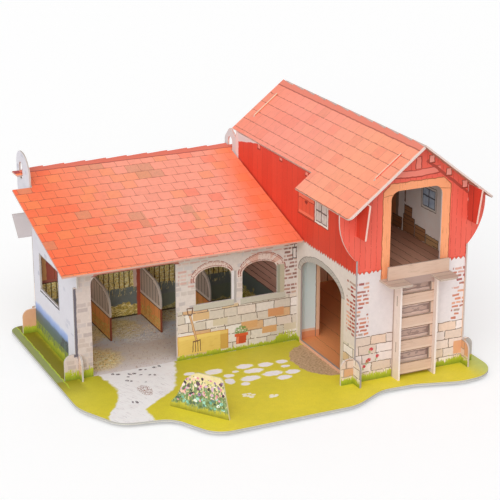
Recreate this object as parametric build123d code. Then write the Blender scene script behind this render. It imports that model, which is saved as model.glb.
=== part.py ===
from build123d import *
import math
import os

# Slot-together cardboard toy barn: a low stable with a lift-up roof beside a taller barn with a loft.
# Millimetres. X runs along the stable front, Y to the back, Z up. The drawing frame has x = 0 on the
# stable's end wall, y = 0 on the stable's front face and z = 0 on top of the base board.

# Boards and fits
wall_board = 2.0
base_board = 2.5
slot_play = 0.1
roof_slit_play = 0.4
lift_play = 0.3
tab_short = 0.3
tab_length = 12.0
bite = 1.0

# Ground plan
stable_length = 262.0
stable_depth = 149.0
barn_width = 137.0
barn_reach = 136.0
barn_setback = 5.0
barn_rear_lip = 7.0

# Heights and pitches
stable_wall_height = 128.7
stable_pitch = 16.2
barn_wall_height = 206.7
barn_pitch = 37.7

# Corner joints: rounded stubs at the foot, half-lapped
stub_reach = 16.0
stub_height = 29.0
stub_round = 9.0
front_stub_reach = 9.5
barn_stub_reach = 14.5
barn_rear_stub_reach = 8.0
gable_stub_left = 15.0
gable_stub_right = 12.5
lap_height = 14.5
front_lip = 3.0
front_lip_top = 105.0

# Stable front wall: the wide opening, two arched windows, and the panel inside the barn
wide_left = 16.5
wide_width = 98.0
wide_lintel = 13.2
wide_round_left = 10.0
wide_round_right = 3.3
window_1_from_barn = 124.3
window_1_width = 43.5
window_1_sill = 62.8
window_1_side = 29.2
window_1_crown = 12.2
window_2_from_barn = 67.7
window_2_width = 43.2
window_2_sill = 61.5
window_2_side = 29.2
window_2_crown = 12.2
door_stop_width = 27.8
door_stop_height = 110.0
door_stop_lap = 55.0

# Stable end wall window, and the loops that the roof hangs in
end_window_front = 62.0
end_window_rear_post = 23.0
end_window_sill = 61.0
end_window_height = 42.0
loop_set = 1.5
loop_play = 1.1
loop_rear_reach = 15.9
loop_rise = 26.2
loop_heel_drop = 37.0
loop_rear_heel_drop = 22.0
loop_front_round = 27.0
loop_rear_round = 16.0
loop_hole_radius = 6.2
loop_hole_rise = 7.4
barn_loop_round = 8.0
barn_loop_shoulder = 12.0

# Stable back wall ear
ear_reach_top = 22.0
ear_reach_bottom = 16.0
ear_height = 29.0

# Stall dividers
divider_first = 67.5
divider_pitch = 62.0
divider_count = 3
divider_depth = 64.0
divider_front_height = 58.0
divider_back_height = 64.5
divider_round = 22.0
divider_tab_low = 20.0
divider_tab_height = 14.0

# Stable roof, one panel on two hinge tabs
stable_eave_overhang = 18.4
stable_ridge_overhang = 41.5
stable_roof_left_overhang = 20.4
stable_roof_gap = 1.4
notch_play = 1.2
hinge_tab_width = 10.0
hinge_tab_inset = 4.6
hinge_tab_reach = 9.0
hinge_tab_right_reach = 8.0
hinge_tab_taper = 3.0
ridge_tile = 25.0
ridge_step = 2.2

# Barn walls
barn_front_lip = 1.0
ear_reach_low = 18.0
ear_reach_high = 26.0
ear_drop = 40.2
flare_reach = 20.0
flare_bulge_out = 13.5
flare_bulge_drop = 48.7
flare_drop = 67.7
flare_top_drop = 19.2
door_front_post = 30.0
door_back_post = 10.0
door_threshold = 3.5
door_side = 84.5
door_crown = 19.5
loft_door_offset = 3.3
loft_door_width = 62.0
loft_door_height = 95.5
loft_door_round = 10.0

# Barn roof, two slopes
barn_ridge_gap_left = 0.9
barn_ridge_gap_right = 3.0
barn_eave_overhang = 21.0
barn_short_overhang = 0.6
barn_step_clearance = 15.6
barn_roof_front_left = 21.5
barn_roof_front_right = 17.5
barn_roof_rear_overhang = 18.3
barn_ridge_tile = 27.3
barn_eave_round = 7.0
roof_tab_inner = 17.5
roof_tab_length = 30.0
roof_tab_proud = 1.2

# Loft floor and platform
loft_underside = 112.0
platform_offset = 2.0
platform_width = 83.0
platform_reach = 28.0
platform_round = 7.0
loft_tab_length = 15.0
loft_tab_offset = 33.0
loft_side_tab_y = 50.0

# Ladder
ladder_offset = 1.7
ladder_clear_width = 42.6
ladder_stand_off = 9.0
rail_depth = 15.0
rail_tab_low = 48.0
rail_tab_height = 12.0
ladder_foot = 3.8
tread_height = 13.5
tread_pitch = 26.4
tread_count = 4
tread_tab_inset = 1.0
ladder_stile = 3.0
ladder_head = 5.5
ladder_neck_width = 34.0
beam_offset = 3.3
beam_width = 75.0
beam_height = 15.5

# Flower card, standing across the lawn
card_left = (64.5, -104.8)
card_right = (105.7, -162.5)
card_height = 44.5

# Base board: how far its edge stands beyond the walls
base_left_margin = 26.0
base_right_margin = 22.5
base_rear_margin = 18.0
base_front_margin = 50.3

# Flower card outline: the corners of its bushy edge, each with the radius of its turn
card_run = (card_right[0] - card_left[0], card_right[1] - card_left[1])
card_length = math.hypot(*card_run)
card_corners = [
    ((0.0, 0.0), 0.0),
    ((card_length, 0.0), 0.0),
    ((card_length - 8.0, card_height), 6.0),
    ((32.0, card_height), 9.0),
    ((18.0, card_height - 10.0), 12.0),
    ((8.0, card_height - 30.5), 5.0),
    ((0.0, card_height - 39.5), 0.0),
]

# Places that follow from the sizes
barn_back_y = stable_depth + wall_board + barn_setback
barn_rear_edge = barn_back_y + wall_board + barn_rear_lip
barn_right_x = stable_length + barn_width
barn_right_wall_x = barn_right_x - wall_board
barn_mid = stable_length + barn_width / 2
gable_left = stable_length + wall_board + slot_play
gable_right = barn_right_wall_x - slot_play
loft_top = loft_underside + wall_board
wide_right = wide_left + wide_width
wide_top = stable_wall_height - wide_lintel
window_1_left = stable_length - window_1_from_barn
window_2_left = stable_length - window_2_from_barn
platform_mid = barn_mid + platform_offset
ladder_mid = barn_mid + ladder_offset
ladder_board_y = -barn_reach - ladder_stand_off
rail_left_x = ladder_mid - ladder_clear_width / 2 - wall_board
rail_right_x = ladder_mid + ladder_clear_width / 2
divider_places = [divider_first + i * divider_pitch for i in range(divider_count)]
treads_with_tabs = range(0, tread_count, 2)
beyond = 400.0

# The stable roof's slope and its hinge axis
stable_lean = math.radians(stable_pitch)
stable_slope = math.tan(stable_lean)
stable_drop = wall_board / math.cos(stable_lean)
stable_eave_z = stable_wall_height + lift_play + stable_drop - stable_slope * stable_eave_overhang
stable_roof_run = stable_eave_overhang + stable_depth + stable_ridge_overhang
stable_roof_length = stable_roof_run / math.cos(stable_lean)
hinge_v = stable_roof_length - hinge_tab_inset - hinge_tab_width / 2
half_board = wall_board / 2
hinge_y = hinge_v * math.cos(stable_lean) - stable_eave_overhang + half_board * math.sin(stable_lean)
hinge_z = stable_eave_z + hinge_v * math.sin(stable_lean) - half_board * math.cos(stable_lean)
loop_front = stable_depth + loop_set
loop_rear = hinge_y + loop_rear_reach
loop_top = hinge_z + loop_rise
loop_heel = hinge_z - loop_heel_drop
loop_rear_heel = hinge_z - loop_rear_heel_drop

# The barn roof's slope
barn_lean = math.radians(barn_pitch)
barn_slope = math.tan(barn_lean)
barn_drop = wall_board / math.cos(barn_lean)
barn_apex_z = barn_wall_height + barn_drop + barn_slope * barn_width / 2
barn_eave_half = barn_width / 2 + barn_eave_overhang
ear_bottom = barn_wall_height - ear_drop
flare_bottom = barn_wall_height - flare_drop
flare_top = barn_wall_height - flare_top_drop

# Middles of the foot tabs, along each wall
front_wall_feet = [-stub_reach / 2, wide_right + tab_length,
                   (window_1_left + window_1_width + window_2_left) / 2, stable_length - tab_length]
end_wall_feet = [stable_depth / 5, stable_depth * 4 / 5]
back_wall_feet = [-stub_reach / 2, divider_first + divider_pitch / 2, divider_first + divider_pitch * 1.5,
                  stable_length - 2.5 * tab_length]
divider_feet = [stable_depth - divider_depth / 2]
gable_feet = [stable_length - gable_stub_left / 2, rail_left_x - tab_length,
              barn_right_x - tab_length]
barn_back_feet = [stable_length + 3 * tab_length, barn_right_x - 3 * tab_length]
barn_left_feet = [-barn_reach + door_front_post / 2, stable_depth / 5, stable_depth * 9 / 10]
barn_right_feet = [-barn_reach + door_front_post / 2, 0.0, stable_depth * 3 / 4]
rail_feet = [-barn_reach - rail_depth / 2]

# Base outline: the corners of its wavy edge, each with the radius of its turn
base_left = -base_left_margin
base_right = barn_right_x + base_right_margin
base_rear = barn_back_y + base_rear_margin
base_front = -barn_reach - base_front_margin
base_corners = [
    ((base_left, base_rear), 14.0),
    ((base_left, -barn_reach + 64.0), 60.0),
    ((base_left + 26.0, -barn_reach + 12.0), 30.0),
    ((base_left + 80.0, -barn_reach + 1.0), 30.0),
    ((base_left + 106.0, base_front), 30.0),
    ((stable_length - 22.0, base_front), 45.0),
    ((stable_length + 20.0, base_front + 22.8), 40.0),
    ((stable_length + 60.0, base_front + 20.8), 40.0),
    ((barn_right_x - 27.0, base_front + 6.3), 60.0),
    ((base_right, base_front + 10.3), 34.0),
    ((base_right, base_rear), 26.0),
]


def rect(u0, v0, u1, v1):
    return Pos((u0 + u1) / 2, (v0 + v1) / 2) * Rectangle(u1 - u0, v1 - v0)


def polygon(points):
    """A straight-sided outline, turned so that it runs anticlockwise."""
    turn = sum(a[0] * b[1] - b[0] * a[1] for a, b in zip(points, points[1:] + points[:1]))
    ordered = points if turn > 0 else points[::-1]
    return Polygon(*ordered, align=None)


def outline(points, rounds=()):
    """A straight-sided outline with some of its corners rounded."""
    shape = polygon(points)
    for point, radius in rounds:
        if radius > 0:
            corner = shape.vertices().sort_by_distance(Vector(*point))[0]
            shape = fillet(corner, radius)
    return shape


def arch(left, width, sill, side, crown):
    """An opening with straight sides and a half-elliptical head."""
    spring = sill + side
    return rect(left, sill, left + width, spring) + Pos(left + width / 2, spring) * Ellipse(width / 2, crown)


def across(shape, front_y):
    """A board standing along X: the outline is (x, z) and its front face is at front_y."""
    plane = Plane(origin=(0, front_y + wall_board, 0), x_dir=(1, 0, 0), z_dir=(0, -1, 0))
    return extrude(plane * shape, amount=wall_board, dir=plane.z_dir)


def along(shape, left_x):
    """A board standing along Y: the outline is (y, z) and its left face is at left_x."""
    plane = Plane(origin=(left_x, 0, 0), x_dir=(0, 1, 0), z_dir=(1, 0, 0))
    return extrude(plane * shape, amount=wall_board, dir=plane.z_dir)


def flat(shape, bottom_z, thick):
    return extrude(Pos(0, 0, bottom_z) * shape, amount=thick, dir=(0, 0, 1))


def foot_tabs(centres):
    """Tabs under a wall, let into the base board."""
    tabs = Sketch()
    for centre in centres:
        tabs += rect(centre - tab_length / 2, tab_short - base_board, centre + tab_length / 2, bite)
    return tabs


def slot(position, low, high):
    """The slot that a crossing board's thickness needs, from low to high."""
    return rect(position - slot_play, low, position + wall_board + slot_play, high)


def slit(middle, length):
    """The slit that takes a tab of the loft floor."""
    half = length / 2 + slot_play
    return rect(middle - half, loft_underside - slot_play, middle + half, loft_top + slot_play)


def left_stub(edge, reach, height):
    """A rounded foot stub that runs past a corner towards lower u."""
    corners = [(edge - reach, 0), (edge + bite, 0), (edge + bite, height), (edge - reach, height)]
    return outline(corners, [(corners[3], min(stub_round, reach))])


def right_stub(edge, reach, height):
    corners = [(edge - bite, 0), (edge + reach, 0), (edge + reach, height), (edge - bite, height)]
    return outline(corners, [(corners[2], min(stub_round, reach))])


def under_stable_roof(y):
    return stable_wall_height + stable_slope * y


def under_barn_roof(x):
    return barn_apex_z - barn_slope * abs(x - barn_mid) - barn_drop


def hinge_hole():
    """The tall hole in a loop that a roof tab turns in."""
    low = Pos(hinge_y, hinge_z) * Circle(loop_hole_radius)
    top = Pos(hinge_y, hinge_z + loop_hole_rise) * Circle(loop_hole_radius)
    left, right = hinge_y - loop_hole_radius, hinge_y + loop_hole_radius
    return low + top + rect(left, hinge_z, right, hinge_z + loop_hole_rise)


def stable_front_wall():
    shape = rect(-front_lip, 0, stable_length - slot_play, under_stable_roof(0))
    shape += left_stub(0, stub_reach, stub_height)
    shape += rect(stable_length - bite, 0, stable_length + wall_board + door_stop_width, door_stop_height)
    shape -= rect(-beyond, front_lip_top, wall_board + slot_play, beyond)
    shape -= slot(0, 0, lap_height)
    shape -= slot(stable_length, door_stop_lap, beyond)
    shape -= outline([(wide_left, -beyond), (wide_right, -beyond), (wide_right, wide_top), (wide_left, wide_top)],
                     [((wide_left, wide_top), wide_round_left), ((wide_right, wide_top), wide_round_right)])
    shape -= arch(window_1_left, window_1_width, window_1_sill, window_1_side, window_1_crown)
    shape -= arch(window_2_left, window_2_width, window_2_sill, window_2_side, window_2_crown)
    shape += foot_tabs(front_wall_feet)
    return across(shape, 0)


def stable_end_wall():
    rear = stable_depth + wall_board
    shape = polygon([(0, 0), (rear, 0), (rear, under_stable_roof(rear)), (0, under_stable_roof(0))])
    shape += polygon([(-front_lip, front_lip_top), (bite, front_lip_top), (bite, under_stable_roof(bite)),
                      (-front_lip, under_stable_roof(-front_lip))])
    shape += left_stub(0, front_stub_reach, stub_height - bite)
    shape += right_stub(rear, stub_reach - wall_board, stub_height)
    shape += outline([(loop_front, loop_heel), (loop_front, loop_top), (loop_rear, loop_top),
                      (loop_rear, loop_rear_heel)],
                     [((loop_front, loop_top), loop_front_round), ((loop_rear, loop_top), loop_rear_round)])
    shape -= hinge_hole()
    shape -= slot(0, lap_height, front_lip_top + slot_play)
    shape -= slot(stable_depth, lap_height, loop_heel)
    shape -= rect(end_window_front, end_window_sill, stable_depth - end_window_rear_post,
                  end_window_sill + end_window_height)
    shape += foot_tabs(end_wall_feet)
    return along(shape, 0)


def stable_back_wall():
    shape = rect(0, 0, stable_length - slot_play, under_stable_roof(stable_depth))
    shape += left_stub(0, stub_reach, stub_height)
    shape += right_stub(stable_length, stub_reach, stub_height)
    ear_foot = loop_heel - ear_height
    shape += polygon([(-ear_reach_top, loop_heel), (-ear_reach_bottom, ear_foot), (bite, ear_foot),
                      (bite, loop_heel)])
    shape -= rect(-beyond, loop_heel, wall_board + slot_play, beyond)
    shape -= slot(0, 0, lap_height + slot_play)
    shape -= slot(stable_length, lap_height, beyond)
    for x in divider_places:
        shape -= slot(x, divider_tab_low - slot_play, divider_tab_low + divider_tab_height + slot_play)
    shape += foot_tabs(back_wall_feet)
    return across(shape, stable_depth)


def stall_divider(x):
    front = stable_depth - divider_depth
    shape = outline([(front, 0), (stable_depth, 0), (stable_depth, divider_back_height),
                     (front, divider_front_height)], [((front, divider_front_height), divider_round)])
    shape += rect(stable_depth - bite, divider_tab_low, stable_depth + wall_board,
                  divider_tab_low + divider_tab_height)
    shape += foot_tabs(divider_feet)
    return along(shape, x)


def ridge_tiles(start, end, level, pitch):
    """The saw-toothed top edge of a roof panel, one shallow step for each ridge tile."""
    count = round((end - start) / pitch)
    length = (end - start) / count
    foot = level - ridge_step
    tiles = Sketch()
    for i in range(count):
        near = start + i * length
        far = near + length
        tiles += polygon([(near, foot - bite), (far, foot - bite), (far, level), (near, foot)])
    return tiles


def stable_roof():
    right = stable_length - stable_roof_gap
    left = -stable_roof_left_overhang
    notch_x = wall_board + notch_play
    notch_v = (loop_front - loop_play + stable_eave_overhang) / math.cos(stable_lean)
    shape = rect(left, 0, right, stable_roof_length - ridge_step)
    shape -= rect(left - bite, notch_v, notch_x, beyond)
    shape += ridge_tiles(notch_x, right, stable_roof_length, ridge_tile)
    tab_low = hinge_v - hinge_tab_width / 2
    tab_high = hinge_v + hinge_tab_width / 2
    tab_right = stable_length + wall_board + hinge_tab_right_reach
    shape += polygon([(hinge_tab_taper - hinge_tab_reach, tab_low), (notch_x + bite, tab_low),
                      (notch_x + bite, tab_high), (-hinge_tab_reach, tab_high)])
    shape += polygon([(right - bite, tab_low), (tab_right - hinge_tab_taper, tab_low), (tab_right, tab_high),
                      (right - bite, tab_high)])
    plane = Plane(origin=(0, -stable_eave_overhang, stable_eave_z), x_dir=(1, 0, 0),
                  z_dir=(0, -math.sin(stable_lean), math.cos(stable_lean)))
    return extrude(plane * shape, amount=-wall_board, dir=plane.z_dir)


def barn_side(feet):
    """The outline that both long barn walls share, as (y, z)."""
    front = -barn_reach
    shape = rect(front, 0, barn_rear_edge, barn_wall_height)
    shape += rect(front - barn_front_lip, 0, front + bite, flare_bottom - slot_play)
    shape += left_stub(front, barn_stub_reach, stub_height - bite)
    shape += right_stub(barn_rear_edge, barn_rear_stub_reach, stub_height)
    shape += polygon([(front, ear_bottom), (front - ear_reach_low, ear_bottom),
                      (front - ear_reach_high, barn_wall_height), (front, barn_wall_height)])
    shape -= slot(front, 0, lap_height)
    shape -= slot(front, flare_bottom - slot_play, flare_top)
    shape -= slot(barn_back_y, 0, lap_height)
    shape -= slit(loft_side_tab_y, loft_tab_length)
    shape += foot_tabs(feet)
    return shape


def barn_left_wall():
    shape = barn_side(barn_left_feet)
    root = barn_rear_edge - bite
    peak = (hinge_y, loop_top)
    rear_shoulder = (loop_rear, loop_top - loop_rear_round)
    shape += outline([(root, loop_heel), (root, loop_top - barn_loop_shoulder), peak, rear_shoulder,
                      (loop_rear, loop_rear_heel)],
                     [(peak, barn_loop_round), (rear_shoulder, barn_loop_round)])
    shape -= hinge_hole()
    shape -= slot(0, 0, door_stop_lap + slot_play)
    shape -= slot(stable_depth, 0, lap_height)
    door_front = -barn_reach + door_front_post
    shape -= arch(door_front, -door_back_post - door_front, door_threshold, door_side, door_crown)
    return along(shape, stable_length)


def barn_right_wall():
    return along(barn_side(barn_right_feet), barn_right_wall_x)


def gable_outline(stub_left, stub_right):
    """What the barn's front and back walls share, as (x, z)."""
    shape = polygon([(gable_left, 0), (gable_right, 0), (gable_right, under_barn_roof(gable_right)),
                     (barn_mid, under_barn_roof(barn_mid)), (gable_left, under_barn_roof(gable_left))])
    shape += left_stub(gable_left, stub_left + wall_board, stub_height)
    shape += right_stub(gable_right, stub_right + wall_board, stub_height)
    for x in (stable_length, barn_right_wall_x):
        shape -= slot(x, lap_height, stub_height + bite)
    for side in (-1, 1):
        near = barn_mid + side * roof_tab_inner
        far = near + side * roof_tab_length
        rise = barn_drop + roof_tab_proud
        shape += polygon([(near, under_barn_roof(near) - bite), (near, under_barn_roof(near) + rise),
                          (far, under_barn_roof(far) + rise), (far, under_barn_roof(far) - bite)])
    return shape


def flare(side):
    """The curved bracket that the gable carries under each eave."""
    wall = barn_mid + side * barn_width / 2
    root = wall - side * (wall_board + slot_play + bite)
    tip = wall + side * flare_reach
    bulge = (wall + side * flare_bulge_out, barn_wall_height - flare_bulge_drop)
    edges = [ThreePointArc((wall, flare_bottom), bulge, (tip, flare_top)),
             Line((tip, flare_top), (tip, under_barn_roof(tip))),
             Line((tip, under_barn_roof(tip)), (root, under_barn_roof(root))),
             Line((root, under_barn_roof(root)), (root, flare_bottom)),
             Line((root, flare_bottom), (wall, flare_bottom))]
    face = make_face(edges)
    return face if face.face().normal_at().Z > 0 else Sketch() + -face.face()


def barn_front_wall():
    shape = gable_outline(gable_stub_left, gable_stub_right)
    for side in (-1, 1):
        shape += flare(side)
    for x in (stable_length, barn_right_wall_x):
        shape -= slot(x, flare_top, beyond)
    door_left = barn_mid + loft_door_offset - loft_door_width / 2
    door_right = door_left + loft_door_width
    door_top = loft_top + loft_door_height
    shape -= outline([(door_left, loft_top), (door_right, loft_top), (door_right, door_top),
                      (door_left, door_top)],
                     [((door_right, door_top), loft_door_round), ((door_left, door_top), loft_door_round)])
    shape -= slit(platform_mid, platform_width)
    for x in (rail_left_x, rail_right_x):
        shape -= slot(x, rail_tab_low - slot_play, rail_tab_low + rail_tab_height + slot_play)
    shape += foot_tabs(gable_feet)
    return across(shape, -barn_reach)


def barn_back_wall():
    shape = gable_outline(gable_stub_left, gable_stub_left)
    for side in (-1, 1):
        shape -= slit(barn_mid + side * loft_tab_offset, loft_tab_length)
    shape += foot_tabs(barn_back_feet)
    return across(shape, barn_back_y)


def loft_floor():
    behind_gable = -barn_reach + wall_board + slot_play
    shape = rect(gable_left, behind_gable, gable_right, barn_back_y - slot_play)
    left = platform_mid - platform_width / 2
    right = platform_mid + platform_width / 2
    front = -barn_reach - platform_reach
    shape += outline([(left, front), (right, front), (right, behind_gable + bite), (left, behind_gable + bite)],
                     [((left, front), platform_round), ((right, front), platform_round)])
    neck = ladder_neck_width / 2 + slot_play
    shape -= rect(platform_mid - neck, -beyond, platform_mid + neck, ladder_board_y + wall_board + slot_play)
    half = loft_tab_length / 2
    for side in (-1, 1):
        middle = barn_mid + side * loft_tab_offset
        shape += rect(middle - half, barn_back_y - bite, middle + half, barn_back_y + wall_board)
        outer = barn_mid + side * barn_width / 2
        inner = outer - side * (wall_board + bite)
        shape += rect(min(inner, outer), loft_side_tab_y - half, max(inner, outer), loft_side_tab_y + half)
    return flat(shape, loft_underside, wall_board)


def barn_roof_slope(side, ridge_gap, front_overhang):
    """One roof slope, drawn as (y, distance up the slope from the eave line)."""
    length = (barn_eave_half - ridge_gap) / math.cos(barn_lean)
    front = -barn_reach - front_overhang
    rear = barn_back_y + barn_roof_rear_overhang
    shape = outline([(front, 0), (rear, 0), (rear, length - ridge_step), (front, length - ridge_step)],
                    [((front, 0), barn_eave_round)])
    if side < 0:
        step_y = -stable_eave_overhang - barn_step_clearance
        step_v = (barn_eave_overhang - barn_short_overhang) / math.cos(barn_lean)
        shape -= rect(step_y, -bite, rear + bite, step_v)
        shape += ridge_tiles(front, rear, length, barn_ridge_tile)
    else:
        shape += rect(front, length - ridge_step - bite, rear, length)
    top = (barn_eave_half - roof_tab_inner) / math.cos(barn_lean)
    low = top - roof_tab_length / math.cos(barn_lean)
    sink = wall_board * barn_slope
    for y in (-barn_reach, barn_back_y):
        shape -= rect(y - roof_slit_play, low - sink - roof_slit_play, y + wall_board + roof_slit_play,
                      top + roof_slit_play)
    eave_z = barn_apex_z - barn_slope * barn_eave_half
    plane = Plane(origin=(barn_mid + side * barn_eave_half, 0, eave_z), x_dir=(0, side, 0),
                  z_dir=(side * math.sin(barn_lean), 0, math.cos(barn_lean)))
    turned = shape if side > 0 else mirror(shape, Plane.YZ)
    return extrude(plane * turned, amount=-wall_board, dir=plane.z_dir)


def tread_tab(i):
    """Lowest and highest point of the tab at the end of a tread."""
    low = ladder_foot + (i + 1) * tread_pitch + tread_tab_inset
    return low, low + tread_height - 2 * tread_tab_inset


def ladder_front():
    left = rail_left_x + wall_board + slot_play
    right = rail_right_x - slot_play
    shape = rect(left, ladder_foot, right, loft_underside)
    neck = ladder_neck_width / 2
    shape += rect(platform_mid - neck, loft_underside - bite, platform_mid + neck, loft_top + bite)
    beam_left = barn_mid + beam_offset - beam_width / 2
    shape += rect(beam_left, loft_top, beam_left + beam_width, loft_top + beam_height)
    for i in range(tread_count):
        low = ladder_foot + tread_height + i * tread_pitch
        top = min(low + tread_pitch - tread_height, loft_underside - ladder_head)
        shape -= rect(left + ladder_stile, low, right - ladder_stile, top)
    for i in treads_with_tabs:
        low, top = tread_tab(i)
        shape += rect(rail_left_x, low, left + bite, top)
        shape += rect(right - bite, low, rail_right_x + wall_board, top)
    return across(shape, ladder_board_y)


def ladder_rail(x):
    shape = rect(-barn_reach - rail_depth, 0, -barn_reach, loft_underside)
    shape += rect(-barn_reach - bite, rail_tab_low, -barn_reach + wall_board, rail_tab_low + rail_tab_height)
    for i in treads_with_tabs:
        low, top = tread_tab(i)
        shape -= slot(ladder_board_y, low - slot_play, top + slot_play)
    shape += foot_tabs(rail_feet)
    return along(shape, x)


card_plane = Plane(origin=(*card_left, 0), x_dir=(*card_run, 0), z_dir=(card_run[1], -card_run[0], 0))


def flower_card():
    """A bush-shaped card on its foot: u along the foot from the left, v up."""
    shape = outline([corner for corner, radius in card_corners], card_corners)
    shape += foot_tabs([card_length / 2])
    return extrude(card_plane * shape, amount=wall_board, dir=card_plane.z_dir)


def base():
    shape = outline([corner for corner, radius in base_corners], base_corners)
    half = tab_length / 2 + slot_play
    rows = [(front_wall_feet, 0), (back_wall_feet, stable_depth), (gable_feet, -barn_reach),
            (barn_back_feet, barn_back_y)]
    for feet, y in rows:
        for x in feet:
            shape -= rect(x - half, y - slot_play, x + half, y + wall_board + slot_play)
    columns = [(end_wall_feet, 0), (barn_left_feet, stable_length), (barn_right_feet, barn_right_wall_x),
               (rail_feet, rail_left_x), (rail_feet, rail_right_x)]
    columns += [(divider_feet, x) for x in divider_places]
    for feet, x in columns:
        for y in feet:
            shape -= slot(x, y - half, y + half)
    card_slot = rect(card_length / 2 - half, -beyond, card_length / 2 + half, beyond)
    start = card_plane.offset(-slot_play)
    cutter = extrude(start * card_slot, amount=wall_board + 2 * slot_play, dir=card_plane.z_dir)
    return flat(shape, -base_board, base_board) - cutter


pieces = {
    "base_board": base(),
    "stable_front_wall": stable_front_wall(),
    "stable_end_wall": stable_end_wall(),
    "stable_back_wall": stable_back_wall(),
    "stable_roof": stable_roof(),
    "barn_left_wall": barn_left_wall(),
    "barn_right_wall": barn_right_wall(),
    "barn_front_wall": barn_front_wall(),
    "barn_back_wall": barn_back_wall(),
    "barn_roof_left": barn_roof_slope(-1, barn_ridge_gap_left, barn_roof_front_left),
    "barn_roof_right": barn_roof_slope(1, barn_ridge_gap_right, barn_roof_front_right),
    "loft_floor": loft_floor(),
    "ladder_front": ladder_front(),
    "ladder_left_rail": ladder_rail(rail_left_x),
    "ladder_right_rail": ladder_rail(rail_right_x),
    "flower_card": flower_card(),
}
for number, place in enumerate(divider_places, start=1):
    pieces[f"stall_divider_{number}"] = stall_divider(place)

# The finished origin is under the middle of the whole toy, on the surface that it stands on
middle_x = (base_left + base_right) / 2
middle_y = (base_front + loop_rear) / 2
os.makedirs("parts", exist_ok=True)
for name, piece in pieces.items():
    export_step(Pos(-middle_x, -middle_y, base_board) * piece, f"parts/{name}.step")
print("frame shift", round(-middle_x, 3), round(-middle_y, 3), base_board)
print("hinge axis", round(hinge_y - middle_y, 4), round(hinge_z + base_board, 4))
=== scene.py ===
import math
import bmesh
import bpy
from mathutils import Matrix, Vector


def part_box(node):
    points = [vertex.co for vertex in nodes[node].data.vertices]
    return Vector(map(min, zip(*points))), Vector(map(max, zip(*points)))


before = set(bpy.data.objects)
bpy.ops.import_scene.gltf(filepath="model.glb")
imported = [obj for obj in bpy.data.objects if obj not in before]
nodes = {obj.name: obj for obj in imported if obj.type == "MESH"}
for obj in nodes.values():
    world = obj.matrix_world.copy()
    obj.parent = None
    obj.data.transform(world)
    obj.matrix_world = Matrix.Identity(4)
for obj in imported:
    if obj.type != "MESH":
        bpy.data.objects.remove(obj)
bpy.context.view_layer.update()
print("frame loaded:", len(nodes), "boards")

# All prints are laid out in millimetres from one corner: the end wall's outer face,
# the front wall's front face and the lawn's surface
corner = Vector((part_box("stable_end_wall")[0].x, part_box("stable_front_wall")[0].y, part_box("base_board")[1].z))


def lowest(node):
    return (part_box(node)[0] - corner) * 1000


def highest(node):
    return (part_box(node)[1] - corner) * 1000


# loftLine is where the prints inside the barn change at the loft's floor; the edges above roofLine lie
# under the barn's roof
place = {
    "stableBack": lowest("stable_back_wall").y,
    "barnLeft": lowest("barn_left_wall").x,
    "barnRight": highest("barn_right_wall").x,
    "gable": lowest("barn_front_wall").y,
    "barnBack": lowest("barn_back_wall").y,
    "loft": highest("loft_floor").z,
    "barnMiddle": (lowest("barn_left_wall").x + highest("barn_right_wall").x) / 2,
    "board": 2.0, "loftLine": 113.0, "roofLine": 205.0,
}

alongX, alongY, alongZ = (1.0, 0.0, 0.0), (0.0, 1.0, 0.0), (0.0, 0.0, 1.0)

# Camera
view = {
    "azimuth": -25.06, "elevation": 19.23, "distance": 1.84997,
    "target": (0.05125, 0.09136, 0.0825), "lens": 112.9, "sensor": 36.0,
}


def outwards(azimuth, elevation):
    turn, lift = math.radians(azimuth), math.radians(elevation)
    return Vector((math.sin(turn) * math.cos(lift), -math.cos(turn) * math.cos(lift), math.sin(lift)))


def makeCamera():
    back = outwards(view["azimuth"], view["elevation"])
    data = bpy.data.cameras.new("camera")
    data.lens, data.sensor_width = view["lens"], view["sensor"]
    camera = bpy.data.objects.new("camera", data)
    camera.location = Vector(view["target"]) + back * view["distance"]
    camera.rotation_mode = "QUATERNION"
    camera.rotation_quaternion = (-back).to_track_quat("-Z", "Y")
    bpy.context.scene.collection.objects.link(camera)
    bpy.context.scene.camera = camera


makeCamera()
print("camera set")


# Prints: the tools that every board's picture is drawn with
def ink(code):
    # a printed colour as it looks on a screen, made linear
    parts = [int(code[i:i + 2], 16) / 255 for i in (0, 2, 4)]
    return (*[c / 12.92 if c <= 0.04045 else ((c + 0.055) / 1.055) ** 2.4 for c in parts], 1)


class Wire:
    # a node's output that can be reckoned with
    def __init__(self, paint, socket):
        self.paint = paint
        self.socket = socket

    def math(self, operation, *others, clamp=False):
        values = dict(enumerate((self, *others)))
        return self.paint.node("Math", values, operation=operation, use_clamp=clamp)

    def fit(self, factor, offset, clamp=False):
        return self.math("MULTIPLY_ADD", factor, offset, clamp=clamp)

    def near(self, middle, reach):
        return self.math("COMPARE", middle, reach)

    def floor(self):
        return self.math("FLOOR")

    def __add__(self, other):
        return self.math("ADD", other)

    def __sub__(self, other):
        return self.math("SUBTRACT", other)

    def __rsub__(self, other):
        return self.fit(-1.0, other)

    def __mul__(self, other):
        return self.math("MULTIPLY", other)

    def __truediv__(self, other):
        return self.math("DIVIDE", other)

    def __mod__(self, other):
        return self.math("FLOORED_MODULO", other)

    def __gt__(self, other):
        return self.math("GREATER_THAN", other)

    def __lt__(self, other):
        return self.math("LESS_THAN", other)

    def __or__(self, other):
        return self.math("MAXIMUM", other)

    def __and__(self, other):
        return self.math("MINIMUM", other)

    def __abs__(self):
        return self.math("ABSOLUTE")

    __radd__, __rmul__ = __add__, __mul__


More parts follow.
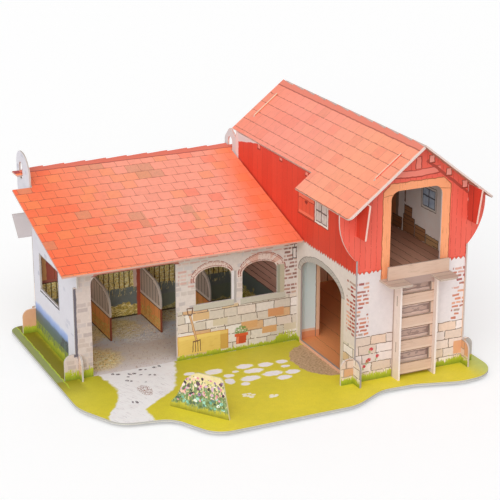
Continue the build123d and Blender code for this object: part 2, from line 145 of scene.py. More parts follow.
class Nodes:
    # the node tree of a material or of the world
    def __init__(self, owner):
        self.owner = owner
        owner.use_nodes = True
        self.tree = owner.node_tree
        self.tree.nodes.clear()

    def node(self, kind, values=None, output=0, stops=None, **settings):
        node = self.tree.nodes.new("ShaderNode" + kind)
        for key, value in settings.items():
            setattr(node, key, value)
        if stops:
            ramp = node.color_ramp
            for spot, code in stops[2:]:
                ramp.elements.new(spot)
            for element, (spot, code) in zip(ramp.elements, stops):
                element.position = spot
                element.color = ink(code)
        for key, value in (values or {}).items():
            if isinstance(value, Wire):
                self.tree.links.new(value.socket, node.inputs[key])
            else:
                node.inputs[key].default_value = ink(value) if isinstance(value, str) else value
        if output is None:
            return None
        if output == "XYZ":
            return [Wire(self, node.outputs[i]) for i in range(3)]
        return Wire(self, node.outputs[output])


class Paint(Nodes):
    # the material of one board: each point's place in millimetres and the way that the surface faces there
    def __init__(self, name):
        super().__init__(bpy.data.materials.new(name))
        spot = self.node("TexCoord", output="Object")
        spot = self.node("VectorMath", {0: spot, 1: corner}, operation="SUBTRACT")
        self.spot = self.node("VectorMath", {0: spot, "Scale": 1000.0}, operation="SCALE")
        self.x, self.y, self.z = self.node("SeparateXYZ", {0: self.spot}, output="XYZ")
        self.facing = self.node("TexCoord", output="Normal")

    def mix(self, amount, first, second):
        return self.node("Mix", {0: amount, 6: first, 7: second}, output=2, data_type="RGBA")

    def scaled(self, colour, amount):
        return self.node("VectorMath", {0: colour, "Scale": amount}, operation="SCALE")

    def fade(self, value, start, end):
        # 0 at the start, 1 at the end
        return self.node("MapRange", {0: value, 1: start, 2: end})

    def choose(self, value, codes):
        # one of several inks, by a number from 0 to 1
        stops = [(i / len(codes), code) for i, code in enumerate(codes)]
        node = self.node("ValToRGB", {0: value}, stops=stops)
        node.socket.node.color_ramp.interpolation = "CONSTANT"
        return node

    def blend(self, value, codes):
        # inks at even steps from 0 to 1, blended between them
        stops = [(i / (len(codes) - 1), code) for i, code in enumerate(codes)]
        return self.node("ValToRGB", {0: value}, stops=stops)

    def along(self, value, stops):
        # inks at given places, blended between them
        start, end = stops[0][0], stops[-1][0]
        stops = [((spot - start) / (end - start), code) for spot, code in stops]
        return self.node("ValToRGB", {0: self.fade(value, start, end)}, stops=stops)

    def point(self, u, v, w=0.0):
        return self.node("CombineXYZ", {0: u, 1: v, 2: w})

    def chance(self, u, v, w=0.0):
        return self.node("TexWhiteNoise", {"Vector": self.point(u, v, w)})

    def measure(self, vector, axis):
        # a vector's length along an axis
        return self.node("VectorMath", {0: vector, 1: axis}, output=1, operation="DOT_PRODUCT")


class Print:
    # what is printed on one side of a board: u and v run over it in millimetres
    def __init__(self, paint, u, v, seed, ground, wobble=0.5):
        self.paint = paint
        self.seed = float(seed)
        raw = paint.point(u, v, self.seed)
        shake = paint.node("TexNoise", {"Vector": raw, "Scale": 0.16, "Detail": 1.0}, output=1)
        shake = paint.node("SeparateXYZ", {0: shake}, output="XYZ")
        self.u = shake[0].fit(wobble * 4, u - wobble * 2)
        self.v = shake[1].fit(wobble * 4, v - wobble * 2)
        self.flat = paint.point(self.u, self.v, self.seed)
        self.colour = ground if isinstance(ground, Wire) else paint.mix(0.0, ground, ground)

    def noise(self, size, long=1.0, turn=0.0, detail=2.0):
        # blotches of a size in millimetres, drawn out so many times along v or along a line turned from it
        spot = self.flat
        if turn:
            spot = self.paint.node("VectorRotate", {"Vector": spot, "Angle": math.radians(turn)},
                                   rotation_type="Z_AXIS")
        scale = (1 / size, 1 / (size * long), 1.0)
        spot = self.paint.node("VectorMath", {0: spot, 1: scale}, operation="MULTIPLY")
        return self.paint.node("TexNoise", {"Vector": spot, "Scale": 1.0, "Detail": detail})

    def cloud(self, codes, size, long=1.0, turn=0.0, detail=2.0):
        # inks that run into each other in blotches
        return self.paint.blend(self.noise(size, long, turn, detail), codes)

    def lay(self, mask, colour):
        self.colour = self.paint.mix(mask, self.colour, colour)

    def tone(self, amount, size, long=1.0, turn=0.0, detail=3.0):
        # lighter and darker places
        noise = self.noise(size, long, turn, detail)
        self.colour = self.paint.scaled(self.colour, noise.fit(amount * 2, 1 - amount))

    def box(self, left, right, low, high):
        across = self.u.near((left + right) / 2, (right - left) / 2)
        return across * self.v.near((low + high) / 2, (high - low) / 2)

    def ring(self, left, right, low, high, width):
        outer = self.box(left, right, low, high)
        return outer * (1 - self.box(left + width, right - width, low + width, high - width))

    def reach(self, u, v, wide, tall):
        # how far out a point is from an oval's middle: 1 on its rim
        spot = {0: self.paint.point(self.u / wide, self.v / tall), 1: (u / wide, v / tall, 0.0)}
        return self.paint.node("VectorMath", spot, output=1, operation="DISTANCE")

    def disc(self, u, v, wide, tall):
        return self.reach(u, v, wide, tall) < 1.0

    def stroke(self, startU, startV, endU, endV, width):
        # a straight pen line
        length = math.hypot(endU - startU, endV - startV)
        cosine, sine = (endU - startU) / length, (endV - startV) / length
        along = self.u.fit(cosine, self.v * sine)
        across = self.v.fit(cosine, self.u * -sine)
        middle = (startU + endU) / 2 * cosine + (startV + endV) / 2 * sine
        offset = startV * cosine - startU * sine
        return along.near(middle, length / 2) * across.near(offset, width / 2)

    def several(self, shape, spots):
        mask = shape(*spots[0])
        for spot in spots[1:]:
            mask = mask | shape(*spot)
        return mask

    def draw(self, shape, rows):
        # rows of an ink and the places where that shape stands in it
        for code, spots in rows:
            self.lay(self.several(shape, spots), code)

    def broken(self, mask, size=3.0, share=0.4):
        # a pen line with gaps in it
        return mask * (self.noise(size) > share)

    def cells(self, width, height, shift=0.5, v=None):
        # a bond of bricks, tiles or blocks, each with its own random number
        u, v = self.u, v or self.v
        up = v / height
        row = up.floor()
        if shift == "random":
            slide = self.paint.chance(row, self.seed, 5.0)
            stretch = self.paint.point(u / 30.0, row * 7.3, self.seed)
            u = u + self.paint.node("TexNoise", {"Vector": stretch, "Scale": 1.0, "Detail": 0.0}) * 18.0
        else:
            slide = (row % 2.0) * shift
        across = u / width + slide
        column = across.floor()
        return {"across": across - column, "up": up - row, "lot": self.paint.chance(column, row, self.seed),
                "width": width, "height": height, "row": row, "column": column}

    def joint(self, cell, width):
        beside = cell["across"] * cell["width"]
        above = cell["up"] * cell["height"]
        return (beside & above) < width

    def plaster(self, look):
        self.lay(self.noise(look["patch"], detail=3.0), look["shade"])
        self.tone(0.08, 5.0)
        self.tone(0.05, 1.1)

    def stones(self, zone, look):
        # squared blocks with dark joints
        cell = self.cells(look["width"], look["height"], "random")
        block = self.paint.choose(cell["lot"], look["inks"])
        block = self.paint.scaled(block, self.noise(3.5, detail=3.0).fit(0.26, 0.88))
        rim = self.broken(self.joint(cell, look["joint"]), 4.0, look["gaps"])
        self.lay(zone, self.paint.mix(rim, block, look["jointInk"]))

    def brickMarks(self, zone, look):
        # bare bricks showing through the plaster as short strokes
        cell = self.cells(look["width"], look["height"], "random")
        shown = (cell["lot"] < look["share"]) * cell["up"].near(0.5, look["thick"])
        shown = shown * cell["across"].near(0.5, 0.42)
        colour = self.paint.choose(cell["lot"] / look["share"], look["inks"])
        self.lay(zone * shown * look.get("strength", 1.0), colour)

    def planks(self, zone, look, upright=True):
        # boards side by side with a dark line between them and grain along them
        across = (self.u if upright else self.v) / look["width"]
        number = across.floor()
        colour = self.paint.blend(self.paint.chance(number, self.seed, 2.0), look["inks"])
        turn = 0.0 if upright else 90.0
        grain = self.noise(1.3, 18.0, turn, 3.0)
        colour = self.paint.scaled(colour, grain.fit(look["grain"] * 2, 1 - look["grain"]))
        line = (across - number) * look["width"] < look["line"]
        line = line * (self.noise(3.0, 12.0, turn) > 0.4)
        self.lay(zone, self.paint.mix(line, colour, look["lineInk"]))

    def stalks(self, zone, codes, share=0.58, size=0.9):
        # loose stalks lying in three directions
        for turn, code in zip((20.0, -40.0, 80.0), codes):
            self.lay(zone * (self.noise(size, 9.0, turn, 1.0) > share), code)

    def straw(self, zone, look):
        self.lay(zone, self.cloud(look["ground"], 6.0))
        self.stalks(zone, look["stalks"])

    def grass(self, zone, tall=8.0, inks=("7f8f1e", "a9b22c", "c2c43c")):
        # blades that stand up from the foot of a wall
        blades = self.noise(1.1, 7.0)
        top = blades.fit(tall * 1.5, self.noise(16.0) * tall - tall * 0.55)
        colour = self.paint.blend(self.v / tall, inks)
        colour = self.paint.scaled(colour, self.noise(1.4, 5.0).fit(0.6, 0.7))
        self.lay(zone * (self.v < top), colour)

    def window(self, left, right, low, high, look):
        # light frame, cloudy panes and dark glazing bars
        self.lay(self.box(left - 1.0, right + 1.0, low - 1.0, high + 1.0), look["outline"])
        self.lay(self.box(left, right, low, high), look["frame"])
        pane = self.box(left + 2.6, right - 2.6, low + 2.6, high - 2.6)
        self.lay(pane, self.paint.blend(self.noise(7.0).fit(2.0, -0.5), look["panes"]))
        middle, sash = (left + right) / 2, low + (high - low) * 0.57
        bars = self.ring(left + 2.2, right - 2.2, low + 2.2, high - 2.2, 1.0)
        bars = bars | self.box(middle - 0.9, middle + 0.9, low + 3.0, high - 3.0)
        self.lay(bars | self.box(left + 3.0, right - 3.0, sash - 0.9, sash + 0.9), look["bars"])

    def shutter(self, left, right, low, high, look):
        # boarded shutter with two battens and a dark heart
        self.lay(self.box(left - 1.2, right + 1.2, low - 1.2, high + 1.2), look["outline"])
        panel = self.box(left, right, low, high)
        self.lay(panel, look["board"])
        self.lay(panel * ((((self.u - left) / ((right - left) / 4)) % 1.0) < 0.08), look["gap"])
        for v in (low + 2.5, high - 3.5):
            self.lay(self.box(left + 0.5, right - 0.5, v - 2.2, v + 1.8), look["outline"])
            self.lay(self.box(left + 0.5, right - 0.5, v - 1.5, v + 1.8), look["batten"])
        u, v = (left + right) / 2, (low + high) / 2 + 4.5
        heart = self.disc(u - 1.5, v, 1.7, 1.7) | self.disc(u + 1.5, v, 1.7, 1.7)
        point = (abs(self.u - u) * 1.15 + abs(self.v - (v - 0.6))) < 3.2
        self.lay(heart | (point * (self.v < v)), look["heart"])

    def shutteredWindow(self, middle, low, high, beside, outer):
        # window between two shutters, which start and end so far from its middle
        self.window(middle - 17.0, middle + 17.0, low, high, windowLook)
        self.shutter(middle - outer, middle - beside, low - 1.0, high + 1.0, shutterLook)
        self.shutter(middle + beside, middle + outer, low - 1.0, high + 1.0, shutterLook)


def cardboard(paint, axis, front, back, middle, edge="b9b0aa", paper="e6ded8", gloss=0.52):
    # the two printed faces of a board and its cut edge: grey core between two lines of paper
    facing = paint.measure(paint.facing, axis)
    depth = abs(paint.measure(paint.spot, axis) - middle) / (place["board"] / 2)
    grit = paint.node("TexNoise", {"Vector": paint.spot, "Scale": 0.9, "Detail": 3.0})
    core = paint.scaled(paint.mix(depth > 0.72, edge, paper), grit.fit(0.3, 0.85))
    printed = paint.mix(facing > 0.0, front.colour, back.colour)
    onFace = abs(facing) > 0.7
    colour = paint.mix(onFace, core, printed)
    sheen = grit.fit(0.2, gloss - 0.1)
    rough = paint.node("Mix", {0: onFace, 2: 0.9, 3: sheen}, data_type="FLOAT")
    fibre = paint.node("TexNoise", {"Vector": paint.spot, "Scale": 2.2, "Detail": 4.0})
    bump = paint.node("Bump", {"Strength": 0.12, "Distance": 0.0002, "Height": fibre})
    shader = paint.node("BsdfPrincipled", {"Base Color": colour, "Roughness": rough, "Normal": bump})
    paint.node("OutputMaterial", {"Surface": shader}, output=None)
    return paint.owner


def dress(node, material):
    nodes[node].data.materials.clear()
    nodes[node].data.materials.append(material)
    print("printed", node)


# Inks and sizes shared by several boards
stoneLook = {
    "width": 21, "height": 10.5, "joint": 0.8, "jointInk": "7a6556", "gaps": 0.38,
    "inks": ("e6dad0", "f0e7e2", "dccfc2", "ebdfd6", "dcc09c", "e6dcd4", "dfb48a", "f0e6e2", "d6ccbe",
             "e6d6ca"),
}
stubStones = {**stoneLook, "width": 15, "height": 9, "jointInk": "a88f80",
              "inks": ("e4c9b8", "ebd4c6", "dcbca4", "e6ccbc", "dca880")}
cornerBricks = {"width": 9, "height": 4.4, "thick": 0.27, "share": 0.78,
                "inks": ("dc8f6e", "c77a62", "b89a8c", "e2a486", "a8605a", "d9a596", "cf8468", "b5786a")}
paleBricks = {"width": 11, "height": 5.8, "thick": 0.38, "share": 0.6, "strength": 0.8,
              "inks": ("c4b8b8", "cfc6c8", "b9aeb0", "d6cfd0", "cfc0ba")}
plasterLook = {"patch": 22, "shade": "ddd0ca"}


def boards(inks, lineInk="84502f", width=12, grain=0.2, line=0.7):
    return {"inks": inks, "lineInk": lineInk, "width": width, "grain": grain, "line": line}


redBoards = boards(("e0452f", "e44b34", "dc412c", "e24831"), "b93426", 13, 0.08, 0.5)
brownBoards = boards(("e2965f", "e8a26c", "d68854", "e29c66"))
darkBoards = boards(("c8845a", "d49064", "ba7850", "cc8a60"), "6a4638", 12, 0.24, 0.8)
paleBoards = boards(("fad2ae", "ffdcbc", "e6b488", "f6caa4"), "7c4c30", 12, 0.28, 1)
slopeBoards = boards(("cbb196", "c0a58a", "d6bfa4"), "977d68", 12, 0.12)
hayLook = {"ground": ("b29e4c", "d8c266"), "stalks": ("857638", "f6e68c", "fcf2b4")}
rackLook = {"ground": ("e4cc70", "fbe692"), "stalks": ("a8904a", "fff4ac", "fffad0")}
windowLook = {"outline": "9a4a3c", "frame": "f0e9e2", "panes": ("bdb6b0", "e0dcd8"), "bars": "5f5652"}
shutterLook = {"outline": "9c2c20", "board": "e45a40", "gap": "bf4230", "batten": "f07a5e", "heart": "8a241a"}

# In the dictionaries a box is left, right, low, high; an oval is its middle, half width and half height;
# and a path's step is v, left edge, right edge

# Lawn: the base board's print
lawn = {
    "greens": ((-170, "efdc3a"), (-105, "e9d838"), (-55, "ddd038"), (-20, "c9c032"), (10, "b5b02c")),
    "endWallShadow": "867b12", "farStrip": "98a05e", "line": "b9cc3a", "tip": "ccd070",
    "path": ((-103, -6, 38), (-85, 8, 60), (-70, 17, 82), (-45, 25, 95), (-10, 22, 110), (20, 17, 114)),
    "pathInks": ("f6efec", "fffdfc", "ece4e2"),
    "pathMarks": ((37, -4, 2, 2.4), (42, -7, 2.4, 2), (54, -11, 2, 2.6), (59, -12, 2.4, 1.8),
                  (69, -5, 1.8, 1.8), (74, -7, 1.6, 1.4), (85, -5, 2.6, 2.2), (91, -4, 1.8, 3),
                  (45, -26, 1.8, 2.2), (49, -29, 1.6, 2), (73, -22, 2, 1.6), (78, -24, 1.4, 2.2),
                  (31, -80, 1.2, 3), (35, -82, 1.2, 3), (62, -38, 1.6, 1.2), (64, -18, 1.8, 1.2),
                  (50, -18, 1.4, 1.2)),
    "markInk": "6a5f64", "sketch": (54, -58, 7.5, 14), "sketchInk": "9c6454", "streakInk": "c4bcc0",
    "stones": ((113, -38, 6, 4), (139, -44, 9.5, 6.5), (176, -45, 9, 5.5), (199, -50, 8, 5.5),
               (219, -50, 6.5, 4.5), (180, -60, 11, 5.5), (217, -63, 5, 3), (150, -61, 6, 4),
               (145, -75, 5, 7), (168, -77, 11, 6), (196, -75, 11, 6), (218, -80, 8, 5.5), (157, -88, 5, 4),
               (203, -90, 8, 5), (161, -54, 4, 2.5)),
    "stoneInks": ("ece6e8", "fbf7fa", "f4eff4"), "stoneRim": "ebe68c",
    "flowers": ((145, -112), (150, -113), (153, -117), (147, -117.5), (143, -116), (149, -121), (170, -126),
                (175, -128), (172, -130), (168, -130)),
    "flowerSize": (2.6, 2), "flowerInk": "fdf8e4", "mottle": "d2c834",
    "patch": (263, -63, 34, 46), "patchInks": ("96744f", "c4a37e", "dcc09c"),
    "floors": ("cdbfb2", "dccfc3", "c9c0ba"), "rear": ("dfe4e4", "cddae6"),
    "heaps": (((30, 44, 36, 36), "f2ce6c"), ((36, 118, 34, 36), "e4d08c"), ((88, 116, 30, 34), "e2d68e"),
              ((160, 132, 32, 20), "d8dabc"), ((228, 120, 34, 34), "e0d090")),
    "stalks": ("a8924e", "fff4b8", "fffbe0"),
    "pale": ((108, 94, 34, 28), ("fffce8", "f4f8fa", "ffffff")),
    "litter": ("ab8468", "efe2c0", "c8a48c"),
    "barn": boards(("f6a266", "fcac70", "f2985c", "ffb278"), "c07c50", 26, 0.12, 0.6),
    "threshold": (257, 271, -100, -18), "thresholdInk": "f2ac80",
}


def pathEdges(paint, v):
    # where the path's left and right edges lie at each v; a curve node works from 0 to 1
    steps = lawn["path"]
    first, last = steps[0][0], steps[-1][0]
    edges = []
    for side in (1, 2):
        curve = paint.node("FloatCurve", {1: paint.fade(v, first, last)})
        mapping = curve.socket.node.mapping
        points = mapping.curves[0].points
        for step in steps[1:-1]:
            points.new((step[0] - first) / (last - first), 0)
        for point, step in zip(points, steps):
            point.location = ((step[0] - first) / (last - first), (step[side] + 40) / 200)
        mapping.update()
        edges.append(curve * 200 - 40)
    return edges


def layPath(top):
    # from the wide opening to the front left edge, with pebbles and a faint drawing in it
    paint = top.paint
    edges = pathEdges(paint, top.v)
    ragged = top.noise(8).fit(8, -4)
    left = paint.fade(top.u + ragged - edges[0], 0, 2.5)
    right = paint.fade(edges[1] - top.u - ragged, 0, 3.5)
    top.lay(left * right * (top.v < 2), top.cloud(lawn["pathInks"], 16, detail=4))
    top.lay(top.several(top.disc, lawn["pathMarks"]) * (top.noise(1.3) > 0.42), lawn["markInk"])
    top.lay(top.disc(*lawn["sketch"]) * (top.noise(1.5, 1, 20) > 0.53), lawn["sketchInk"])
    top.lay((top.v < -25) * left * right * (top.noise(1, 14, -22) > 0.62) * 0.5, lawn["streakInk"])


def layPaving(top):
    # paving stones in the grass, small flowers, and trodden earth before the barn door
    near = None
    for stone in lawn["stones"]:
        reach = top.reach(*stone)
        near = reach if near is None else near & reach
    near = near + top.noise(5).fit(0.5, -0.25)
    top.lay(near < 1.16, lawn["stoneRim"])
    top.lay(near < 1, top.cloud(lawn["stoneInks"], 4))
    flowers = [(u, v, *lawn["flowerSize"]) for u, v in lawn["flowers"]]
    top.lay(top.several(top.disc, flowers), lawn["flowerInk"])
    earth = (top.reach(*lawn["patch"]) + top.noise(8).fit(0.16, -0.08)) < 1
    grains = top.noise(1.3, 2.5, 75).fit(2, -0.5, clamp=True)
    top.lay(earth, top.paint.blend(grains, lawn["patchInks"]))


def layFloors(top):
    # stable floor with straw in the stalls, then the barn's floor boards
    fade = top.paint.fade
    inside = top.box(1, place["barnLeft"], 0, place["stableBack"])
    top.lay(inside, top.cloud(lawn["floors"], 18, detail=4))
    top.lay(inside * fade(top.v + top.noise(9) * 20, 72, 100), top.cloud(lawn["rear"], 14))
    # painted light in part: towards the wide opening the floor turns to the path's pale ink, where the path runs in
    # and the floor is lit brighter
    top.lay(inside * fade(top.v + top.noise(14) * 12, 34, 4), lawn["pathInks"][2])
    top.stalks(inside * 0.6, lawn["litter"], 0.66, 1.2)
    for heap, code in lawn["heaps"]:
        near = fade(top.reach(*heap) + top.noise(9) * 0.5, 1.3, 0.9) * inside
        top.lay(near * 0.8, code)
        top.stalks(near, lawn["stalks"])
    spot, codes = lawn["pale"]
    top.stalks(inside * fade(top.reach(*spot), 1.1, 0.8), codes, 0.6, 1)
    barnFloor = top.box(place["barnLeft"], place["barnRight"], place["gable"], place["barnBack"])
    top.planks(barnFloor, lawn["barn"])
    # a lighter strip on the floor just inside the barn door
    doorSill = top.box(*lawn["threshold"]) * (top.u > place["barnLeft"]) * fade(top.u, 271, 264)
    top.lay(doorSill, lawn["thresholdInk"])


def paintLawn():
    paint = Paint("lawn_print")
    # the greens darken towards the buildings, partly as painted shade beside the walls
    top = Print(paint, paint.x, paint.y, 1, paint.along(paint.y, lawn["greens"]), 0.8)
    top.lay(top.noise(60).fit(1.2, -0.35, clamp=True), lawn["mottle"])
    # painted shadow: a dark olive band beside the end wall; then a lighter strip and a line beyond it, and the pale
    # right-hand tip
    top.lay(paint.fade(top.u, 2, -4) * paint.fade(top.v, -40, 10), lawn["endWallShadow"])
    top.lay(paint.fade(top.u, -16, -18) * (top.v > 0), lawn["farStrip"])
    top.lay(top.u.near(-17, 0.7) * (top.v > -20), lawn["line"])
    top.lay(paint.fade(top.u + top.noise(12) * 10, 396, 420), lawn["tip"])
    top.tone(0.10, 1.2, 3, 30)
    top.tone(0.07, 9)
    layPath(top)
    layPaving(top)
    layFloors(top)
    under = Print(paint, paint.x, paint.y, 2, "d8d4cf")
    under.tone(0.06, 3)
    return cardboard(paint, alongZ, under, top, -1, edge="aeaba5", paper="cfccc0")


dress("base_board", paintLawn())

# Stable front wall
front = {
    "rings": ((158, 92, 25.5, 19), (218.5, 90.7, 29, 21.5)),
    "holes": ((159.45, 92, 21.75, 12.2), (215.9, 90.7, 21.6, 12.2)),
    "ringInk": "ecd6cd", "shade": 0.85, "ringLine": "a8665a", "spokeInk": "c08a7c", "spokes": 4.6,
    "blush": ((198, 214, 98, 113), (229, 244, 96, 110), (120, 134, 86, 96)),
    "beside": (("ece6ea", ((180.8, 184, 58, 96),)), ("b5adac", ((184, 187, 58, 96),)),
               ("a5a493", ((237.3, 241, 58, 95),)), ("c4b8a0", ((241, 246.5, 58, 95),)),
               ("cbc5b8", ((135, 184, 56, 62.6), (192, 248, 55, 61.3))),
               ("97897a", ((135, 184, 55.2, 56), (192, 248, 54.2, 55)))),
    "blushInk": "de9478", "stoneTop": 57, "stoneLeft": 116, "cornerTint": "c49c84", "cornerShade": "655e68",
    "blocks": (("dc9c6c", ((226, 246, 34, 43.5),)), ("e0ac76", ((193, 213, 24.5, 33), (219, 237, 15, 23))),
               ("e2bc8c", ((134, 154, 44, 52.5),)), ("dccdb4", ((158, 176, 34, 42), (246, 262, 14, 22)))),
    "course": (("c98272", ((20, 118, 115, 121),)), ("a0584c", ((18, 119, 113.8, 115),))),
    "posts": ((-20, 17, 8, 120), (113, 138, 30, 122), (180, 196, 60, 122)),
    "doorLeft": 264, "doorRight": 287, "door": "c4dada", "sheen": "e6f2f2", "doorFrame": "e2bc9e",
    "doorFoot": "dc9468", "doorLine": "8d7464",
    "bale": (115.2, 177, 5, 28), "baleRim": "c98a44", "baleFace": (116, 176, 5, 27.2),
    "baleInks": ("cda24a", "e2c26a", "d9b45c"), "baleEnd": (167, 176, 5, 27.2), "baleEndInk": "bf8f42",
    "baleTop": (116, 176, 23, 27.2), "baleTopInk": "ecd07c",
    "handle": (130.7, 51.5, 138.2, 20), "handleInks": ((2.6, "a8764e"), (1.1, "dcb488")), "iron": "6b4a3c",
    "plant": (192.5, 23.5, 8, 5.5), "plantInk": "74904a", "lanternInk": "4a3d3e",
    "pot": (("d0562f", ((184.5, 201, 16.5, 20),)), ("c04a28", ((186.5, 199, 7.5, 16.5),)),
            ("e07a50", ((187, 190, 8, 16),))),
    "pinkish": {**cornerBricks, "strength": 0.55, "inks": ("e0a090", "d98c7c", "e6b4a4", "cf8478")},
    "dark": {**cornerBricks, "width": 6.5, "inks": ("a87c72", "bc9284", "946a62", "c8a494", "b08278")},
}
# pen strokes: where each starts and ends, and its width
front["fork"] = ((126.5, 59.8, 134.5, 60.2, 1.3), (127, 59.8, 128.6, 52, 1.1), (134, 60, 132.8, 52, 1.1),
                 (128.2, 52, 133, 51.6, 1.1), (133.6, 19.6, 143, 20.4, 1.3), (134.2, 20, 133.4, 7, 0.9),
                 (137, 20, 136.6, 7, 0.9), (139.8, 20, 139.8, 7, 0.9), (142.6, 20, 143, 7, 0.9))
front["lantern"] = ((256.8, 99.5, 256.8, 112, 0.9), (261.2, 99.5, 261.2, 112, 0.9),
                    (256.4, 99.7, 261.8, 99.7, 1.1), (256.4, 112, 261.8, 112, 1.3),
                    (259, 112, 259, 116.5, 0.9), (255, 116.5, 262, 116.5, 1))


def paintFrontWall():
    paint = Paint("stable_front_print")
    out = Print(paint, paint.x, paint.z, 3, "e6dad6", 0.35)
    out.plaster(plasterLook)
    out.brickMarks(out.several(out.box, front["posts"]), paleBricks)
    out.brickMarks(out.box(117, 136, 84, 106) | out.box(118, 250, 112, 126), front["pinkish"])
    out.brickMarks(out.box(246, 263, 44, 126), front["dark"])
    out.lay((out.u < 18) * 0.22, front["cornerTint"])
    # brick arches over the windows
    for ring, hole in zip(front["rings"], front["holes"]):
        outer, inner = out.reach(*ring), out.reach(*hole)
        above = out.v > ring[1] - 3
        zone = (outer < 1) * above
        out.lay(zone, front["ringInk"])
        angle = (out.v - ring[1]).math("ARCTAN2", out.u - ring[0]) * front["spokes"]
        out.lay(out.broken(zone * ((angle % 1) < 0.10), 2.5, 0.5), front["spokeInk"])
        blush = out.several(out.box, front["blush"]) * (paint.chance(angle.floor(), 3) > 0.4)
        out.lay(zone * blush * 0.5, front["blushInk"])
        lines = outer.near(1, 0.024) | outer.near(0.93, 0.012) | inner.near(1.1, 0.03)
        out.lay(out.broken(lines * above, 2.6, 0.41), front["ringLine"])
    # stone blocks below
    stones = (out.v < front["stoneTop"]) * (out.u > front["stoneLeft"])
    out.stones(stones, stoneLook)
    out.draw(out.box, front["blocks"])
    out.draw(out.box, front["beside"])
    out.tone(0.09, 2.5)
    # painted shade: the whole printed front made darker
    out.colour = paint.scaled(out.colour, front["shade"])
    # straw bale with a fork leaning on it
    out.lay(out.box(*front["bale"]), front["baleRim"])
    out.lay(out.box(*front["baleFace"]), out.cloud(front["baleInks"], 1.2, 7, 80))
    out.lay(out.box(*front["baleEnd"]) * 0.7, front["baleEndInk"])
    out.lay(out.box(*front["baleTop"]) * 0.5, front["baleTopInk"])
    for width, code in front["handleInks"]:
        out.lay(out.stroke(*front["handle"], width), code)
    out.lay(out.several(out.stroke, front["fork"]), front["iron"])
    # flowerpot
    out.lay(out.disc(*front["plant"]) * (out.noise(1.6) > 0.46), front["plantInk"])
    out.draw(out.box, front["pot"])
    out.grass((out.u > 114) * (out.u < 236), 6.5)
    out.grass(out.u > 236, 15)
    out.grass(out.u < 18, 13)
    # reddish course over the wide opening, lantern at the corner
    out.draw(out.box, front["course"])
    out.lay(out.several(out.stroke, front["lantern"]), front["lanternInk"])
    # painted shade: a dark strip down the corner where the front wall meets the end wall, running on down the stub
    out.lay(out.box(-5, 0, 26, 104) | out.stroke(-1, 30, 3.6, 5, 1.8), front["cornerShade"])
    # the panel that stands inside the barn, painted as an open door
    door = out.u > front["doorLeft"]
    out.lay(door, front["door"])
    out.lay(door * paint.fade(out.u, front["doorLeft"], front["doorRight"]) * 0.7, front["sheen"])
    out.lay(door * ((out.v < 11) | (out.u > front["doorRight"])), front["doorFrame"])
    out.lay(door * (out.v < 8), front["doorFoot"])
    out.lay(door * out.u.near(front["doorRight"], 0.5), front["doorLine"])
    inner = Print(paint, paint.x, paint.z, 4, "d6cdc6")
    inner.plaster(plasterLook)
    inner.brickMarks(inner.v > 45, paleBricks)
    inner.planks(inner.v < 45, paleBoards)
    inner.straw(inner.v < inner.noise(8) * 18, hayLook)
    inner.lay(inner.u > front["doorLeft"], front["door"])
    return cardboard(paint, alongY, out, inner, 1)


dress("stable_front_wall", paintFrontWall())

# Stable end wall
endWall = {
    "shade": "dcd8e0", "bandFrom": 33, "bandTo": 152, "shapeInk": "4a4f50", "weeds": "8d9a3a",
    "rearEdge": "dcd6d6",
    "band": ((10, "66745c"), (22, "5c6c66"), (28, "64747e"), (31, "8ca4d6"), (36, "a9bcea"),
             (40, "dfe0ec")),
    "bricks": {**paleBricks, "share": 0.10, "inks": ("d2d0da", "c9c6d2", "dcdae2")},
    "shapes": ((38, 22, 5, 7), (52, 20, 4, 9), (46, 26, 7, 2), (58, 17, 3, 4)),
    "lines": (("4f464a", ((59.5, 61.6, 58.5, 106), (59.5, 128, 57.5, 59.4))),
              ("b5adb0", ((61.6, 63, 59.4, 104), (125, 127, 59, 104), (61, 127, 102.2, 104)))),
}


def paintEndWall():
    paint = Paint("stable_end_print")
    out = Print(paint, paint.y, paint.z, 5, "e9e6ec")
    out.lay(out.noise(24, detail=3), endWall["shade"])
    out.tone(0.05, 2.2)
    out.brickMarks(out.v > 44, endWall["bricks"])
    out.draw(out.box, endWall["lines"])
    trough = (out.u > endWall["bandFrom"]) * (out.u < endWall["bandTo"])
    out.lay(trough * (out.v < 40), paint.along(out.v + out.noise(14) * 4 - 2, endWall["band"]))
    out.lay(out.several(out.disc, endWall["shapes"]) * (out.noise(2) > 0.42), endWall["shapeInk"])
    out.lay((out.v < 16) * (out.noise(2.4, 3) > 0.48), endWall["weeds"])
    out.tone(0.06, 1.4, 4)
    stub = (out.u < 2) | (out.u > 153)
    out.stones(stub * (out.v < 30), stubStones)
    out.grass(out.u < 400, 12)
    inner = Print(paint, paint.y, paint.z, 6, "c4ae96")
    inner.planks(inner.v > 55, boards(("cf9e70", "bf8e62", "d6ac7e")))
    inner.planks(inner.v < 55, paleBoards)
    inner.straw(inner.v < inner.noise(8) * 26, hayLook)
    inner.lay((inner.u > 150) * (inner.v > 30), endWall["rearEdge"])
    return cardboard(paint, alongX, out, inner, 1)


dress("stable_end_wall", paintEndWall())

# Stable back wall
backWall = {
    "strawTop": 17, "rackLow": 37, "rackTop": 59, "slateShade": ("6c7a7a", "7e8a88", "58666a"),
    "post": "b8583e", "postShade": "6d2e22", "postLight": "e6c8bc",
    "rackRail": "b5685a", "rackLine": "5f3428",
    "lowRightGrey": "7e8e78", "footLine": "4a4230",
    "barInk": "6a5630", "barPitch": 6.4, "ear": "c9c0c0", "stub": ("dca078", "e4b08a"),
    "dividers": [lowest("stall_divider_%d" % number).x for number in (1, 2, 3)],
    "windows": (62, 131, 200),
}


